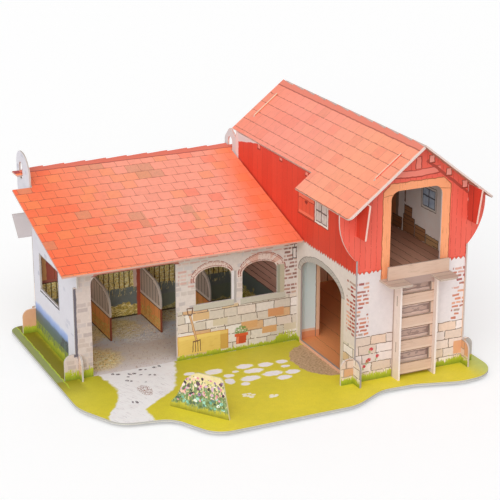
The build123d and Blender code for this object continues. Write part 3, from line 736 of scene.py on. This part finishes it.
def paintBackWall():
    paint = Paint("stable_back_print")
    inner = Print(paint, paint.x, paint.z, 7, "c9b6a8")
    inner.planks(inner.v > backWall["rackTop"], boards(("d0a68c", "dcb49c", "c69c84"), "8d6452"))
    inner.planks(inner.box(3, 14.6, 60, 160), boards(("f2b878", "f8c48a"), width=9))
    inner.planks(inner.box(14.6, 40, 60, 160), boards(("c0604e", "cc6e5a")))
    # painted shade: dark slate grey below the hay rack
    inner.lay(inner.v < backWall["rackLow"], inner.cloud(backWall["slateShade"], 12, detail=3))
    inner.tone(0.10, 7)
    rack = inner.box(-900, 900, backWall["rackLow"], backWall["rackTop"])
    hanging = (inner.v > 27) * (inner.v < backWall["rackLow"] + 1) * (inner.noise(1.2, 9) > 0.60)
    inner.straw(rack | hanging, rackLook)
    inner.lay(rack * (((inner.u / backWall["barPitch"]) % 1) < 0.2), backWall["barInk"])
    inner.lay(inner.v.near(backWall["rackTop"] + 1, 1.6), backWall["rackRail"])
    inner.lay(inner.v.near(backWall["rackTop"] - 1, 0.5), backWall["rackLine"])
    low = paint.fade(inner.u, 132, 140) * 10
    inner.straw((inner.v + low) < inner.noise(10) * 18 + (backWall["strawTop"] - 9), hayLook)
    # greyer and darker low on the right half of the wall
    inner.lay((inner.v < 22) * (inner.u > 128) * 0.5, backWall["lowRightGrey"])
    inner.lay(inner.v < 2, backWall["footLine"])
    for x in backWall["dividers"]:
        # a red post behind each divider, with a shaded and a light edge
        inner.draw(inner.box, ((backWall["post"], ((x - 4.5, x + 6, 0, 62),)),
                               (backWall["postShade"], ((x + 4.6, x + 6, 0, 62),)),
                               (backWall["postLight"], ((x - 8.6, x - 4.5, 36, 62),))))
    inner.lay((inner.u < 2) * (inner.v > 90), backWall["ear"])
    out = Print(paint, paint.x, paint.z, 8, "e6dad4")
    out.plaster(plasterLook)
    out.brickMarks(out.v > 50, {**paleBricks, "share": 0.3})
    out.brickMarks((out.u < 22) | (out.u > 240), {**cornerBricks, "share": 0.4})
    out.stones(out.v < 50, stoneLook)
    for u in backWall["windows"]:
        out.shutteredWindow(u, 78, 108, 18.5, 36)
    for face in (inner, out):
        stub = (face.u < 0.5) * (face.v < 60)
        face.lay(stub, face.cloud(backWall["stub"], 5))
        face.grass(stub if face is inner else face.u < 500, 11)
    edge = paint.mix((paint.x < 0.5) * (paint.z < 60), "b9b0aa", "f0dccc")
    return cardboard(paint, alongY, inner, out, place["stableBack"] + 1, edge=edge)


dress("stable_back_wall", paintBackWall())

# Stall dividers
divider = {"boardTop": 29, "barPitch": 9, "bars": ("c8b6a8", "dccdc0"), "barLine": "8a7a6e",
           "rail": "efe3d8", "round": 22, "roundDrop": 6.5, "topLean": 0.1016, "railWidth": 3.2,
           "barsFrom": 31.5, "railLine": "6a574a", "boardLine": "5f3a26", "redEdge": "a8442c",
           "foot": "6a3a24",
           "boards": boards(("fca45c", "ffb268", "f49a54"), "9c5c34", 15),
           "straw": {"ground": ("cf9e46", "e0b65a"), "stalks": ("e08a3c", "ecd070", "f6e08c")}}


def paintDivider(node, seed):
    paint = Paint(node + "_print")
    low, high = lowest(node), highest(node)
    turn, wide = divider["round"], divider["railWidth"]
    faces = []
    for side in (0, 1):
        face = Print(paint, paint.y, paint.z, seed + side, "9c8d82", 0.2)
        face.planks(face.v < divider["boardTop"], divider["boards"])
        heap = (face.v < face.noise(14) * 34) * (face.noise(3) > 0.44)
        face.straw(heap * 0.7, divider["straw"])
        upper = face.v > divider["barsFrom"]
        face.lay(upper, face.cloud(divider["bars"], 2, 10))
        face.lay(upper * (((face.u / divider["barPitch"]) % 1) < 0.18), divider["barLine"])
        # how far in a point lies from the front, the top and the round corner between them
        fromFront = face.u - low.y
        fromTop = (face.u - high.y) * divider["topLean"] + high.z - face.v
        fromRound = turn - face.reach(low.y + turn, high.z - divider["roundDrop"] - turn, 1, 1)
        bend = (fromFront < turn) * (fromTop < turn)
        rim = bend * fromRound + (1 - bend) * (fromFront & fromTop)
        face.lay(upper * (rim < wide + 0.8), divider["railLine"])
        face.lay(upper * (rim < wide), divider["rail"])
        face.lay(face.v.near(30.2, 1.8), divider["rail"])
        face.lay(face.v.near(28, 0.6), divider["boardLine"])
        face.lay((face.v < 28) * (fromFront < 1.6), divider["redEdge"])
        face.lay(face.v < 1.6, divider["foot"])
        faces.append(face)
    edge = paint.mix(paint.z > divider["boardTop"], "7d4028", "bfb3a8")
    paper = paint.mix(paint.z > divider["boardTop"], "8d4a30", "d2c8be")
    return cardboard(paint, alongX, *faces, low.x + 1, edge=edge, paper=paper)


for number in (1, 2, 3):
    name = "stall_divider_%d" % number
    dress(name, paintDivider(name, 10 + number))

# Roof tiles
tiles = {
    "stable": {"width": 16, "pitch": 16, "from": 2.7, "joint": "a84e34", "jointWidth": 0.85, "beside": 0.62,
               "odd": "c69470", "warm": ("ff5f36", "ff9a58"), "lean": 16.2, "ridge": 207,
               "ridgeInk": "e4745e", "ridgeLine": "a8483c", "tab": "b04a48", "barnReflection": ("fa6428", "ff7c3c"),
               "inks": ((-20, "ff7446"), (20, "ff7e52"), (60, "fd8e6a"), (110, "fea087"), (240, "fea088"))},
    "barn": {"width": 17, "pitch": 14.75, "from": 0.3, "joint": "a85e4a", "jointWidth": 0.85, "beside": 0.38,
             "odd": "ee9478", "warm": ("f88870", "fca486"), "lean": 37.7, "ridge": 103.6,
             "ridgeInk": "ec8670", "ridgeLine": "b85c4a", "eaveShade": "a86a58", "verge": "f4cfc2",
             "inks": ((-160, "ff9c7a"), (-80, "ffa582"), (0, "fe9e86"), (90, "fd9a85"), (170, "fe947a"))},
    "underBarn": {**slopeBoards, "inks": ("c69a82", "ba8c76", "cfa58c")},
}


def paintTiles(face, look, share):
    cell = face.cells(look["width"], look["pitch"], 0.5, v=face.v - look["from"])
    paint = face.paint
    colour = paint.scaled(paint.along(face.u, look["inks"]), cell["lot"].fit(0.07, 0.965))
    second = paint.chance(cell["column"], cell["row"], 40)
    # odd tiles lie in patches two wide and two high
    group = paint.chance((cell["column"] / 2).floor(), (cell["row"] / 2).floor(), 41)
    colour = paint.mix((second > 0.88) * 0.32, colour, look["warm"][0])
    colour = paint.mix((second < 0.14) * 0.35, colour, look["warm"][1])
    odd = (group < share) | (second.near(0.5, 0.02) * (group < 0.6))
    colour = paint.mix(odd * face.noise(1.6, detail=3).fit(0.8, 0.05), colour, look["odd"])
    colour = paint.scaled(colour, face.noise(6, detail=4).fit(0.22, 0.89))
    face.colour = paint.scaled(colour, face.noise(0.9, 5).fit(0.10, 0.95))
    butt = cell["up"] * cell["height"]
    beside = cell["across"] * cell["width"]
    soft = face.noise(5).fit(2.4, -0.5, clamp=True)
    face.lay((butt < look["jointWidth"]) * soft, look["joint"])
    face.lay((beside < 0.55) * look["beside"], look["joint"])
    dash = ((butt < 1.3) * ((beside < 2.6) | (beside > look["width"] - 1.4))) * (second > 0.35)
    face.lay(dash * 0.6, look["ridgeLine"])
    ridge = look["ridge"]
    face.lay(face.v > ridge, look["ridgeInk"])
    face.tone(0.04, 3)
    face.lay(face.v.near(ridge, 0.7), look["ridgeLine"])


def slope(paint, node, across, lean):
    # how far up the slope a point lies, and how far the board's middle is from its lowest corner
    low = lowest(node)
    sine, cosine = math.sin(lean), math.cos(lean)
    thick = place["board"]
    run = across.fit(cosine, (paint.z - low.z) * sine) - thick * sine * cosine
    return run, thick * cosine * cosine - thick / 2


def paintStableRoof():
    paint = Paint("stable_roof_print")
    look = tiles["stable"]
    low = lowest("stable_roof")
    lean = math.radians(look["lean"])
    axis = Vector((0, -math.sin(lean), math.cos(lean)))
    run, inwards = slope(paint, "stable_roof", paint.y - low.y, lean)
    top = Print(paint, paint.x, run, 20, "fa8a6c", 0.35)
    share = paint.fade(top.u, 170, 60) * 0.13 + 0.02
    paintTiles(top, look, share)
    # painted reflection and shade: beside the barn's red wall the tiles turn a deeper, warmer orange
    warm = paint.fade(top.u - top.v * 0.106 + top.noise(9) * 12, 206, 238) * (top.v < look["ridge"])
    top.lay(warm * 0.62, top.cloud(look["barnReflection"], 9))
    top.lay((top.u < -1) * (top.v > look["ridge"]), look["tab"])
    under = Print(paint, paint.x, run, 21, "c9b5a4")
    under.planks(under.u > -100, slopeBoards)
    middle = Vector((0, low.y, low.z)).dot(axis) + inwards
    return cardboard(paint, tuple(axis), under, top, middle, edge="d0a698", paper="f0b8a6")


dress("stable_roof", paintStableRoof())


def paintBarnSlope(node, side):
    # side is -1 for the left slope and 1 for the right one
    paint = Paint(node + "_print")
    look = tiles["barn"]
    low, high = lowest(node), highest(node)
    lean = math.radians(look["lean"])
    eave = low.x if side < 0 else high.x
    axis = Vector((side * math.sin(lean), 0, math.cos(lean)))
    run, inwards = slope(paint, node, (paint.x - eave) * -side, lean)
    top = Print(paint, paint.y, run, 24 + side, "f0907a", 0.35)
    paintTiles(top, look, 0.05)
    # painted shade: a dark line along the eave for the shaded underside
    top.lay(top.v < 0.8, look["eaveShade"])
    top.lay(top.u < low.y + 2.2, look["verge"])
    under = Print(paint, paint.y, run, 28 + side, "c9b5a4")
    under.planks(under.u > -500, tiles["underBarn"], upright=False)
    middle = Vector((eave, 0, low.z)).dot(axis) + inwards
    return cardboard(paint, tuple(axis), under, top, middle, edge="d6c4bc", paper="f0dcd4")


dress("barn_roof_left", paintBarnSlope("barn_roof_left", -1))
dress("barn_roof_right", paintBarnSlope("barn_roof_right", 1))

# Barn walls, outside: red boards above a saw-toothed edge, plaster, corner bricks, stones and grass
barn = {
    "saw": 123.2, "sawPitch": 5.4, "sawRise": 1.1, "sawShade": "b86a58", "stoneTop": 50,
    "window": (-73, -42, 155, 181), "shutter": (-40, -2.5, 154.5, 179),
    "shutterFar": (-114, -76, 155, 179), "rearWindow": (60, 92, 66, 98),
    "arch": (-58, 88, 48, 19.5), "archRing": 6.5, "archInk": "bdb5ae", "purlins": (100.6, 43, -21.5),
    "pale": "ddd3d2", "slateShade": ("6c7a7a", "7e8a88"),
    "archShade": "918780", "jamb": "d6cabd", "archLine": "857b74", "sill": "e6b496", "underEave": "c44232",
    "beam": "9c3024", "beamEnd": "ec9080", "pillar": "9c9c8c", "loftPost": "a3826c", "crateLine": "4a3226",
    "leftBoards": boards(("d9402c", "dd4631", "d53c28", "db432e"), "b93426", 13, 0.08, 0.5),
    "frontBricks": {**cornerBricks, "inks": ("b04438", "9c3c34")},
    "loftWindow": {"outline": "a38c7a", "frame": "f0e6dc", "panes": ("a9bcd4", "dce6f0"), "bars": "5a6070"},
    "stable": boards(("dca898", "e8b8a6", "cf9a8a"), "74483e", 7.4, line=0.9),
    "ear": ((-156, "d8402f"), (-148, "d0402e"), (-136, "bd4434")), "earLine": "8a2a20", "earStone": "dca47c",
    "limewash": ("fdeade", "fffaf4"), "loftPosts": ((8, 14, 113, 206), (-8, -5, 150, 206)),
    "crates": ((-28, -4, 114, 134, "a8744e"), (-52, -30, 114, 129, "b8845a"), (-80, -54, 114, 124, "d0a878"),
               (-22, -6, 134.5, 146, "b07c56"), (0, 20, 114, 128, "98643f")),
}


def redAbove(face, look=redBoards):
    # the boards' lower ends are cut to points of uneven width
    wave = (face.u + face.noise(9) * 5).math("PINGPONG", barn["sawPitch"] / 2)
    teeth = wave.fit(barn["sawRise"], barn["saw"])
    face.lay((face.v > teeth - 0.8) * (face.v < 135), barn["sawShade"])
    face.planks(face.v > teeth, look)


def barnFoot(face, left, right, wide=18):
    # bricks near the corners, between the stones and the red boards
    corners = (face.u < left + wide) | (face.u > right - wide)
    face.brickMarks(corners * (face.v > 52) * (face.v < 115), cornerBricks)


def insideBoards(face):
    # pale boards on the barn's ground floor and darker ones in the loft
    face.planks(face.v < place["loftLine"], paleBoards)
    face.planks(face.v > place["loftLine"], darkBoards)


def paintStableSide(face):
    # the part of the barn's wall that the stable is built against: boards, painted shade in slate grey below, and
    # hay
    inside = face.box(1, place["stableBack"] + 0.5, -9, 300) * ((face.v - face.u * 0.29) < 129)
    face.planks(inside, barn["stable"], upright=False)
    face.lay(inside * (face.v < 37), face.cloud(barn["slateShade"], 12))
    face.lay(inside * (face.u < 9), barn["pillar"])
    face.straw(inside * (face.v < face.noise(8) * 34), hayLook)


def paintBarnSide(name, left):
    paint = Paint(name + "_print")
    gableEnd, rearEnd = place["gable"], place["barnBack"]
    out = Print(paint, paint.y, paint.z, 30 + left, "e6dad4")
    out.plaster(plasterLook)
    barnFoot(out, gableEnd, rearEnd)
    if left:
        out.stones((out.v < 42) * (out.u < gableEnd + 30), {**stoneLook, "width": 16, "height": 9.6})
    else:
        out.stones(out.v < barn["stoneTop"], stoneLook)
    redAbove(out, barn["leftBoards"] if left else redBoards)
    out.tone(0.05, 26)
    if left:
        u, v, wide, tall = barn["arch"]
        ring = barn["archRing"]
        reach = out.reach(u, v, wide + ring, tall + ring)
        angle = (out.v - v).math("ARCTAN2", out.u - u) * 9
        arch = (reach < 1) * (out.v > v - 1)
        out.lay(arch, paint.mix((angle % 1) < 0.1, barn["archInk"], barn["archShade"]))
        out.lay(out.box(u - wide - ring, u + wide + ring, 0, v), barn["jamb"])
        out.lay(reach.near(1, 0.012) * (out.v > v), barn["archLine"])
        out.brickMarks(out.box(gableEnd, gableEnd + 10, 58, 110), barn["frontBricks"])
        out.tone(0.06, 3)
    out.window(*barn["window"], windowLook)
    out.shutter(*barn["shutter"], shutterLook)
    if not left:
        out.shutter(*barn["shutterFar"], shutterLook)
        out.window(*barn["rearWindow"], windowLook)
    for u in barn["purlins"]:
        out.lay(out.box(u - 4.2, u + 4.2, 200.4, 208), barn["beam"])
        out.lay(out.box(u - 3, u + 3, 202, 208), barn["beamEnd"])
    # the hinge loop and the tabs at the rear stay pale
    ending = (out.v + out.u * 0.19) > 226.4
    out.lay(ending * (out.u > 96), barn["pale"])
    out.lay((out.u > 157.5) * (out.v > 60), paint.mix(out.u > 165, "ecd6d2", barn["pale"]))
    out.lay((out.v > place["roofLine"]) * (out.u < 96), barn["underEave"])
    if left:
        paintStableSide(out)
    out.grass(out.v < 40)
    if left:
        out.lay(out.box(-108, -8, -5, 6.5), barn["sill"])
    inner = Print(paint, paint.y, paint.z, 34 + left, "b5703f")
    paintBarnInside(inner, left)
    # the ears that stand ahead of the gable
    ahead = inner.u < gableEnd
    inner.lay(ahead * (inner.v > 100), paint.along(inner.u, barn["ear"]))
    inner.lay(ahead * inner.u.near(-146.5, 0.5) * (inner.v > 100), barn["earLine"])
    inner.stones(ahead * (inner.v < 34), stubStones)
    inner.lay(ahead * inner.box(-160, -143, 12, 27), barn["earStone"])
    inner.grass(ahead, 11)
    inner.lay((inner.u > 157.5) * (inner.v > 60), barn["pale"])
    first, second = (out, inner) if left else (inner, out)
    middle = (lowest(name).x + highest(name).x) / 2
    upper = paint.z > 139
    edge = paint.mix(upper, "9c908e" if left else "cbb8ae", "ecc4b6")
    paper = paint.mix(upper, "b5aaa8", "f0d0c4")
    return cardboard(paint, alongX, first, second, middle, edge=edge, paper=paper)


def paintBarnInside(face, left):
    insideBoards(face)
    if left:
        return
    # the right wall shows a limewashed loft with posts, a window and stacked crates
    pale = (face.v > place["loftLine"]) * (face.u < 14)
    face.lay(pale, face.cloud(barn["limewash"], 12, detail=3))
    face.lay(face.several(face.box, barn["loftPosts"]), barn["loftPost"])
    face.window(*barn["window"], barn["loftWindow"])
    for start, end, foot, top, code in barn["crates"]:
        face.lay(face.box(start - 0.8, end + 0.8, foot, top + 0.8), barn["crateLine"])
        face.planks(face.box(start, end, foot, top), boards((code, code), "5f4230", 5), upright=False)


dress("barn_left_wall", paintBarnSide("barn_left_wall", 1))
dress("barn_right_wall", paintBarnSide("barn_right_wall", 0))

# Gable wall
gable = {
    "frame": (292.5, 375.5, 218.5), "frameWidth": 10, "frameInks": ("f19666", "f5a272", "ed8b56"),
    "frameLine": "c0723f", "frameRim": "a85830", "ladder": (309, 359, 3, 112), "ladderPitch": 26.4,
    "behind": ("f0cebf", "ffeadc"), "treadShadow": "b0948a", "behindLight": "d4b6a8", "shade": 0.87,
    "stones": {**stoneLook, "width": 22, "height": 10.2,
               "inks": ("e9d3c8", "f0e0da", "e0c8b8", "eacbb5", "ecdcd6", "e4d2ca")},
    "footBlocks": (("dfa57e", ((387, 403, 12, 27),)), ("b5ada8", ((403, 413, 8, 27),))),
    "petal": "d03c46", "leaf": "9aa864", "seam": "c24030", "timberLine": "a83c2c", "timber": "ec8270",
    "kingPost": (("a83c2c", ((330.5, 338, 230.5, 244),)), ("ec8270", ((331.5, 337, 231, 243.2),))),
    "flowers": ((283.2, 36.1), (290.9, 26.9), (278.7, 22.6), (275, 17.6), (281, 24.5)),
    "collar": (222.5, 229), "purlins": ((350.5, 239.5), (372, 222.7), (392.3, 207)), "red": "f07462",
    "beam": (344, 249, 404, 201.5), "beamInk": "b04434", "purlinLine": "98341f", "purlin": "f0a090",
}


def paintRoofTimbers(out):
    # collar beam with a post on it, and on either side a slanting beam and the ends of the purlins
    middle = place["barnMiddle"]
    low, high = gable["collar"]
    bow = (out.u - middle) * (out.u - middle) * -0.0022 + out.v
    collar = abs(out.u - middle) < 31
    out.lay(collar * bow.near((low + high) / 2, (high - low) / 2 + 0.9), gable["timberLine"])
    out.lay(collar * bow.near((low + high) / 2 + 0.3, (high - low) / 2 - 0.2), gable["timber"])
    out.draw(out.box, gable["kingPost"])
    inner, top, outer, foot = gable["beam"]
    for mirror in (1, -1):
        start, end = middle + mirror * (inner - middle), middle + mirror * (outer - middle)
        out.lay(out.stroke(start, top - 10, end, foot - 10, 3), gable["beamInk"])
        for u, v in gable["purlins"]:
            spot = middle + mirror * (u - middle)
            out.lay(out.box(spot - 3.8, spot + 3.8, v - 4.6, v + 4.6), gable["purlinLine"])
            out.lay(out.box(spot - 2.8, spot + 2.8, v - 3.2, v + 3.8), gable["purlin"])


def paintLoftFrame(out):
    # orange timber frame round the loft opening, with its upper corners cut off
    left, right, top = gable["frame"]
    foot = place["loftLine"]
    peak = abs(out.u - (left + right) / 2) + out.v
    out.lay(out.box(left, right, foot, top) * (peak < top + (right - left) / 2 - 9), gable["frameRim"])
    inside = out.box(left + 0.9, right - 0.9, foot, top - 0.9) * (peak < top + (right - left) / 2 - 10.2)
    out.lay(inside, out.cloud(gable["frameInks"], 1.6, 14, 0, 3))
    head = inside * (out.v > top - gable["frameWidth"] - 3)
    out.lay(head, out.cloud(gable["frameInks"], 1.6, 14, 90, 3))
    sill = top - gable["frameWidth"]
    mitres = ((left, sill - 4, left + 20, sill - 1, 0.8),
              (right, sill - 4, right - 20, sill - 1, 0.8))
    pen = out.several(out.stroke, mitres)
    out.lay(pen | (inside * (out.noise(0.7, 30) > 0.66)), gable["frameLine"])


def paintBehindLadder(out):
    # weathered boards, with a dark band of painted shadow low in each gap between the treads, streaked lighter
    left, right, low, high = gable["ladder"]
    out.lay(out.box(left, right, low, high), out.cloud(gable["behind"], 1.6, 14, 90, 3))
    for i in range(4):
        foot = 17.5 + i * gable["ladderPitch"]
        out.lay(out.box(left, right - 5, foot, foot + 7.6), gable["treadShadow"])
        light = out.box(left + 3, right - 8, foot + 1.2, foot + 6) * (out.noise(3, 3, 90) > 0.45)
        out.lay(light, gable["behindLight"])


def paintGable():
    paint = Paint("barn_front_print")
    out = Print(paint, paint.x, paint.z, 40, "eee2de")
    left, right = place["barnLeft"], place["barnRight"]
    out.plaster({"patch": 22, "shade": "e2d6d6"})
    barnFoot(out, left, right, 17)
    out.stones(out.v < 52, gable["stones"])
    out.stones(((out.u < left) | (out.u > right)) * (out.v < 34), stubStones)
    out.draw(out.box, gable["footBlocks"])
    for u, v in gable["flowers"]:
        out.lay(out.disc(u, v, 2.2, 2) * (out.noise(1.5) > 0.38), gable["petal"])
        out.lay(out.disc(u - 1.5, v - 3, 1.4, 2.2) * (out.noise(1.2) > 0.5), gable["leaf"])
    # painted shade: the plaster and stones darker at the left, lightening towards the right
    out.colour = paint.scaled(out.colour, paint.fade(out.u, 300, 385).fit(0.12, gable["shade"]))
    redAbove(out)
    out.lay((out.v > 126) * (0.35 + out.noise(9, 6) * 0.3), gable["red"])
    seams = (out.v > 128) * (((out.u / 6.5) % 1) < 0.08)
    out.lay(out.broken(seams, 5, 0.44), gable["seam"])
    paintRoofTimbers(out)
    paintLoftFrame(out)
    paintBehindLadder(out)
    out.grass(out.v < 40, 11)
    inner = Print(paint, paint.x, paint.z, 41, "b5703f")
    insideBoards(inner)
    inner.planks(((inner.u < left) | (inner.u > right)) * (inner.v > 120), redBoards)
    underRoof = paint.z > place["roofLine"]
    edge = paint.mix(underRoof, "d9ccc6", "f0c9ae")
    paper = paint.mix(underRoof, "f0e4e0", "f6d8c4")
    return cardboard(paint, alongY, out, inner, place["gable"] + 1, edge=edge, paper=paper)


dress("barn_front_wall", paintGable())


# Barn's back wall: red boards, a shuttered window and a double door
rear = {"gableInk": "e27a50", "doorRim": "7a5840", "door": boards(("c08858", "cc9464", "b57c4c"), width=9.3),
        "batten": "9c6a44", "battens": (14, 72), "doorGap": "5a3d2a"}


def paintBarnBack():
    paint = Paint("barn_back_print")
    middle = place["barnMiddle"]
    inner = Print(paint, paint.x, paint.z, 44, "8a5f4c")
    insideBoards(inner)
    inner.lay(abs(inner.u - middle) * 0.77 + inner.v > 258, rear["gableInk"])
    out = Print(paint, paint.x, paint.z, 45, "eee2de")
    out.plaster(plasterLook)
    barnFoot(out, place["barnLeft"], place["barnRight"])
    out.stones(out.v < barn["stoneTop"], stoneLook)
    redAbove(out)
    out.shutteredWindow(middle, 160, 188, 19, 37)
    out.lay(out.box(middle - 31, middle + 31, 0, 96), rear["doorRim"])
    out.planks(out.box(middle - 28, middle + 28, 0, 93), rear["door"])
    battens = [(middle - 28, middle + 28, foot, foot + 5) for foot in rear["battens"]]
    out.lay(out.several(out.box, battens), rear["batten"])
    out.lay(out.box(middle - 0.6, middle + 0.6, 0, 93), rear["doorGap"])
    out.grass(out.v < 40)
    edge = paint.mix(paint.z > place["roofLine"], "b9b0aa", "f4dcb8")
    return cardboard(paint, alongY, inner, out, place["barnBack"] + 1, edge=edge)


dress("barn_back_wall", paintBarnBack())

# Loft floor and platform
loft = {"boards": {**darkBoards, "inks": ("c49076", "d29c82", "b28068")},
        "porch": boards(("c9b4a4", "d4c0b0", "bda898"), "8d786a", 11, 0.14)}


def paintLoft():
    paint = Paint("loft_floor_print")
    top = Print(paint, paint.x, paint.y, 50, "94684f")
    top.planks(top.v > place["gable"], loft["boards"])
    top.planks(top.v < place["gable"] + 1, loft["porch"], upright=False)
    under = Print(paint, paint.x, paint.y, 51, "8a6148")
    under.planks(under.v > -900, brownBoards)
    middle = (lowest("loft_floor").z + highest("loft_floor").z) / 2
    return cardboard(paint, alongZ, under, top, middle, edge="b8a494", paper="dccabc")


dress("loft_floor", paintLoft())

# Ladder: light timber with the grain along each part
ladder = {"inks": ("c8a38b", "d4b49f", "bc957d"), "lineInk": "94715a", "treadFoot": 3.8, "treadTall": 13.5,
          "pitch": 26.4, "treadTop": "dcc0ac", "treadLine": "86644e", "head": "ab8f84",
          "sideInks": ("e2cdc3", "ebdbd1"), "sideRear": "ab9082"}


def woodFace(paint, u, v, seed, turn, inks):
    face = Print(paint, u, v, seed, inks[0], 0.3)
    face.colour = face.cloud(inks, 1.5, 16, turn, 4)
    face.tone(0.05, 7)
    face.lay((face.noise(0.7, 40, turn) > 0.66) * 0.5, ladder["lineInk"])
    return face


def paintLadder():
    paint = Paint("ladder_print")
    low, high = lowest("ladder_front"), highest("ladder_front")
    faces = []
    for seed in (60, 61):
        face = woodFace(paint, paint.x, paint.z, seed, 90, ladder["inks"])
        step = (paint.z - ladder["treadFoot"]) % ladder["pitch"]
        treads = paint.z < 105
        face.lay(treads * (step < 3.4) * 0.7, ladder["treadTop"])
        face.lay(treads * ((step < 0.9) | step.near(ladder["treadTall"] - 0.3, 0.6)), ladder["treadLine"])
        face.lay((1 - treads) * (paint.z < place["loft"] + 1), ladder["head"])
        faces.append(face)
    return cardboard(paint, alongY, *faces, (low.y + high.y) / 2, edge="ab988a", paper="d6c2b2")


def paintRail(node, seed):
    paint = Paint(node + "_print")
    faces = []
    for side in (0, 1):
        face = woodFace(paint, paint.y, paint.z, seed + side, 0, ladder["sideInks"])
        # darker along the edge beside the gable
        face.lay(paint.fade(paint.y, highest(node).y - 5, highest(node).y - 3.2), ladder["sideRear"])
        faces.append(face)
    return cardboard(paint, alongX, *faces, lowest(node).x + 1, edge="e9dad2", paper="f6ece6")


dress("ladder_front", paintLadder())
dress("ladder_left_rail", paintRail("ladder_left_rail", 62))
dress("ladder_right_rail", paintRail("ladder_right_rail", 64))

# Flower card: a bush of small mixed flowers
bush = {"ground": ("d4c878", "e6d6a0", "eccfae"), "leaves": ("4a5c34", "7c9058", "9cc0a0"), "size": 3.8,
        "eye": "4a3c44", "grass": ("8d8a24", "b5ae38", "cdc458"),
        "high": ("e6a4b4", "e0889e", "6a4a5c", "f2e0dc", "9c7aa4", "3e3038", "d9b0c8", "ecc4b0", "4a3844"),
        "low": ("a4d8c8", "6fb0a2", "e4ece6", "3f4c40", "8cc8b8", "e2a0ae", "54685a", "5a8078", "bce0d4")}


def paintBush():
    paint = Paint("flower_card_print")
    low, high = lowest("flower_card"), highest("flower_card")
    run = Vector((high.x - low.x, low.y - high.y, 0)).normalized()
    along = (paint.x - low.x).fit(run.x, (paint.y - high.y) * run.y)
    faces = []
    for side in (0, 1):
        face = Print(paint, along, paint.z, 70 + side, "8c9a5c", 1)
        face.colour = paint.blend(face.noise(5, detail=3).fit(2, -0.5), bush["ground"])
        leaf = face.noise(2.2, 2.5, 15, 3) + paint.fade(face.v, 34, 8) * 0.22
        leafy = (leaf > 0.53) * (face.v < 36)
        face.lay(leafy, paint.blend(face.noise(3, detail=3).fit(2, -0.5), bush["leaves"]))
        cells = {"Vector": face.flat, "Scale": 1 / bush["size"]}
        blots = paint.node("TexVoronoi", cells)
        lots = paint.node("TexVoronoi", cells, output="Color")
        lot, second, third = paint.node("SeparateXYZ", {0: lots}, output="XYZ")
        flower = (blots < 0.5) * (face.v > 8) * (face.v < 40) * (third < 0.88)
        flower = flower * (face.u > 8) * (face.u < 66)
        upper = (face.v + face.noise(9) * 16) > 27
        face.lay(flower, paint.mix(upper, paint.choose(lot, bush["low"]), paint.choose(lot, bush["high"])))
        face.lay((blots < 0.14) * flower * (second < 0.4), bush["eye"])
        face.tone(0.12, 1.5)
        face.grass(face.v < 30, 9, bush["grass"])
        faces.append(face)
    axis = Vector((run.y, -run.x, 0))
    middle = Vector((low.x, high.y, 0)).dot(axis)
    return cardboard(paint, tuple(axis), *faces, middle, edge="cfc79a", paper="e6e0bc")


dress("flower_card", paintBush())

# Studio: white floor that keeps the shadow, white surroundings, three broad soft lamps
studio = {
    "world": 0.50, "floor": 0.8, "glow": 0.28, "floorSize": 9, "floorDrop": 0.004, "white": (1, 1, 1, 1),
    # name, azimuth, elevation, strength, spread
    "lamps": (("key", -20, 50, 0.95, 45), ("front", -34, 14, 1.2, 35), ("fill", -70, 35, 0.35, 40)),
}


def makeSurroundings():
    # white to the camera, and half as strong where it lights the object
    world = Nodes(bpy.data.worlds.new("surroundings"))
    bpy.context.scene.world = world.owner
    strength = world.node("LightPath", output="Is Camera Ray").fit(1 - studio["world"], studio["world"])
    background = world.node("Background", {"Color": studio["white"], "Strength": strength})
    world.node("OutputWorld", {"Surface": background}, output=None)


def makeLamps():
    for name, azimuth, elevation, strength, spread in studio["lamps"]:
        lamp = bpy.data.lights.new(name + "_lamp", "SUN")
        lamp.energy = strength
        lamp.angle = math.radians(spread)
        holder = bpy.data.objects.new(name + "_lamp", lamp)
        holder.rotation_mode = "QUATERNION"
        holder.rotation_quaternion = outwards(azimuth, elevation).to_track_quat("Z", "Y")
        bpy.context.scene.collection.objects.link(holder)


def makeFloor():
    mesh = bpy.data.meshes.new("floor")
    shape = bmesh.new()
    bmesh.ops.create_grid(shape, x_segments=1, y_segments=1, size=studio["floorSize"])
    shape.to_mesh(mesh)
    shape.free()
    floor = bpy.data.objects.new("floor", mesh)
    bpy.context.scene.collection.objects.link(floor)
    floor.location.z = -studio["floorDrop"]
    # a faint glow that only the camera sees lifts the floor to white beside the shadow
    white = Nodes(bpy.data.materials.new("floor_white"))
    glow = white.node("LightPath", output="Is Camera Ray") * studio["glow"]
    shader = white.node("BsdfPrincipled", {
        "Base Color": (studio["floor"],) * 3 + (1,), "Roughness": 1, "Specular IOR Level": 0,
        "Emission Color": studio["white"], "Emission Strength": glow})
    white.node("OutputMaterial", {"Surface": shader}, output=None)
    mesh.materials.append(white.owner)


makeSurroundings()
makeLamps()
makeFloor()
bpy.context.scene.view_settings.view_transform = "Standard"
print("studio set")
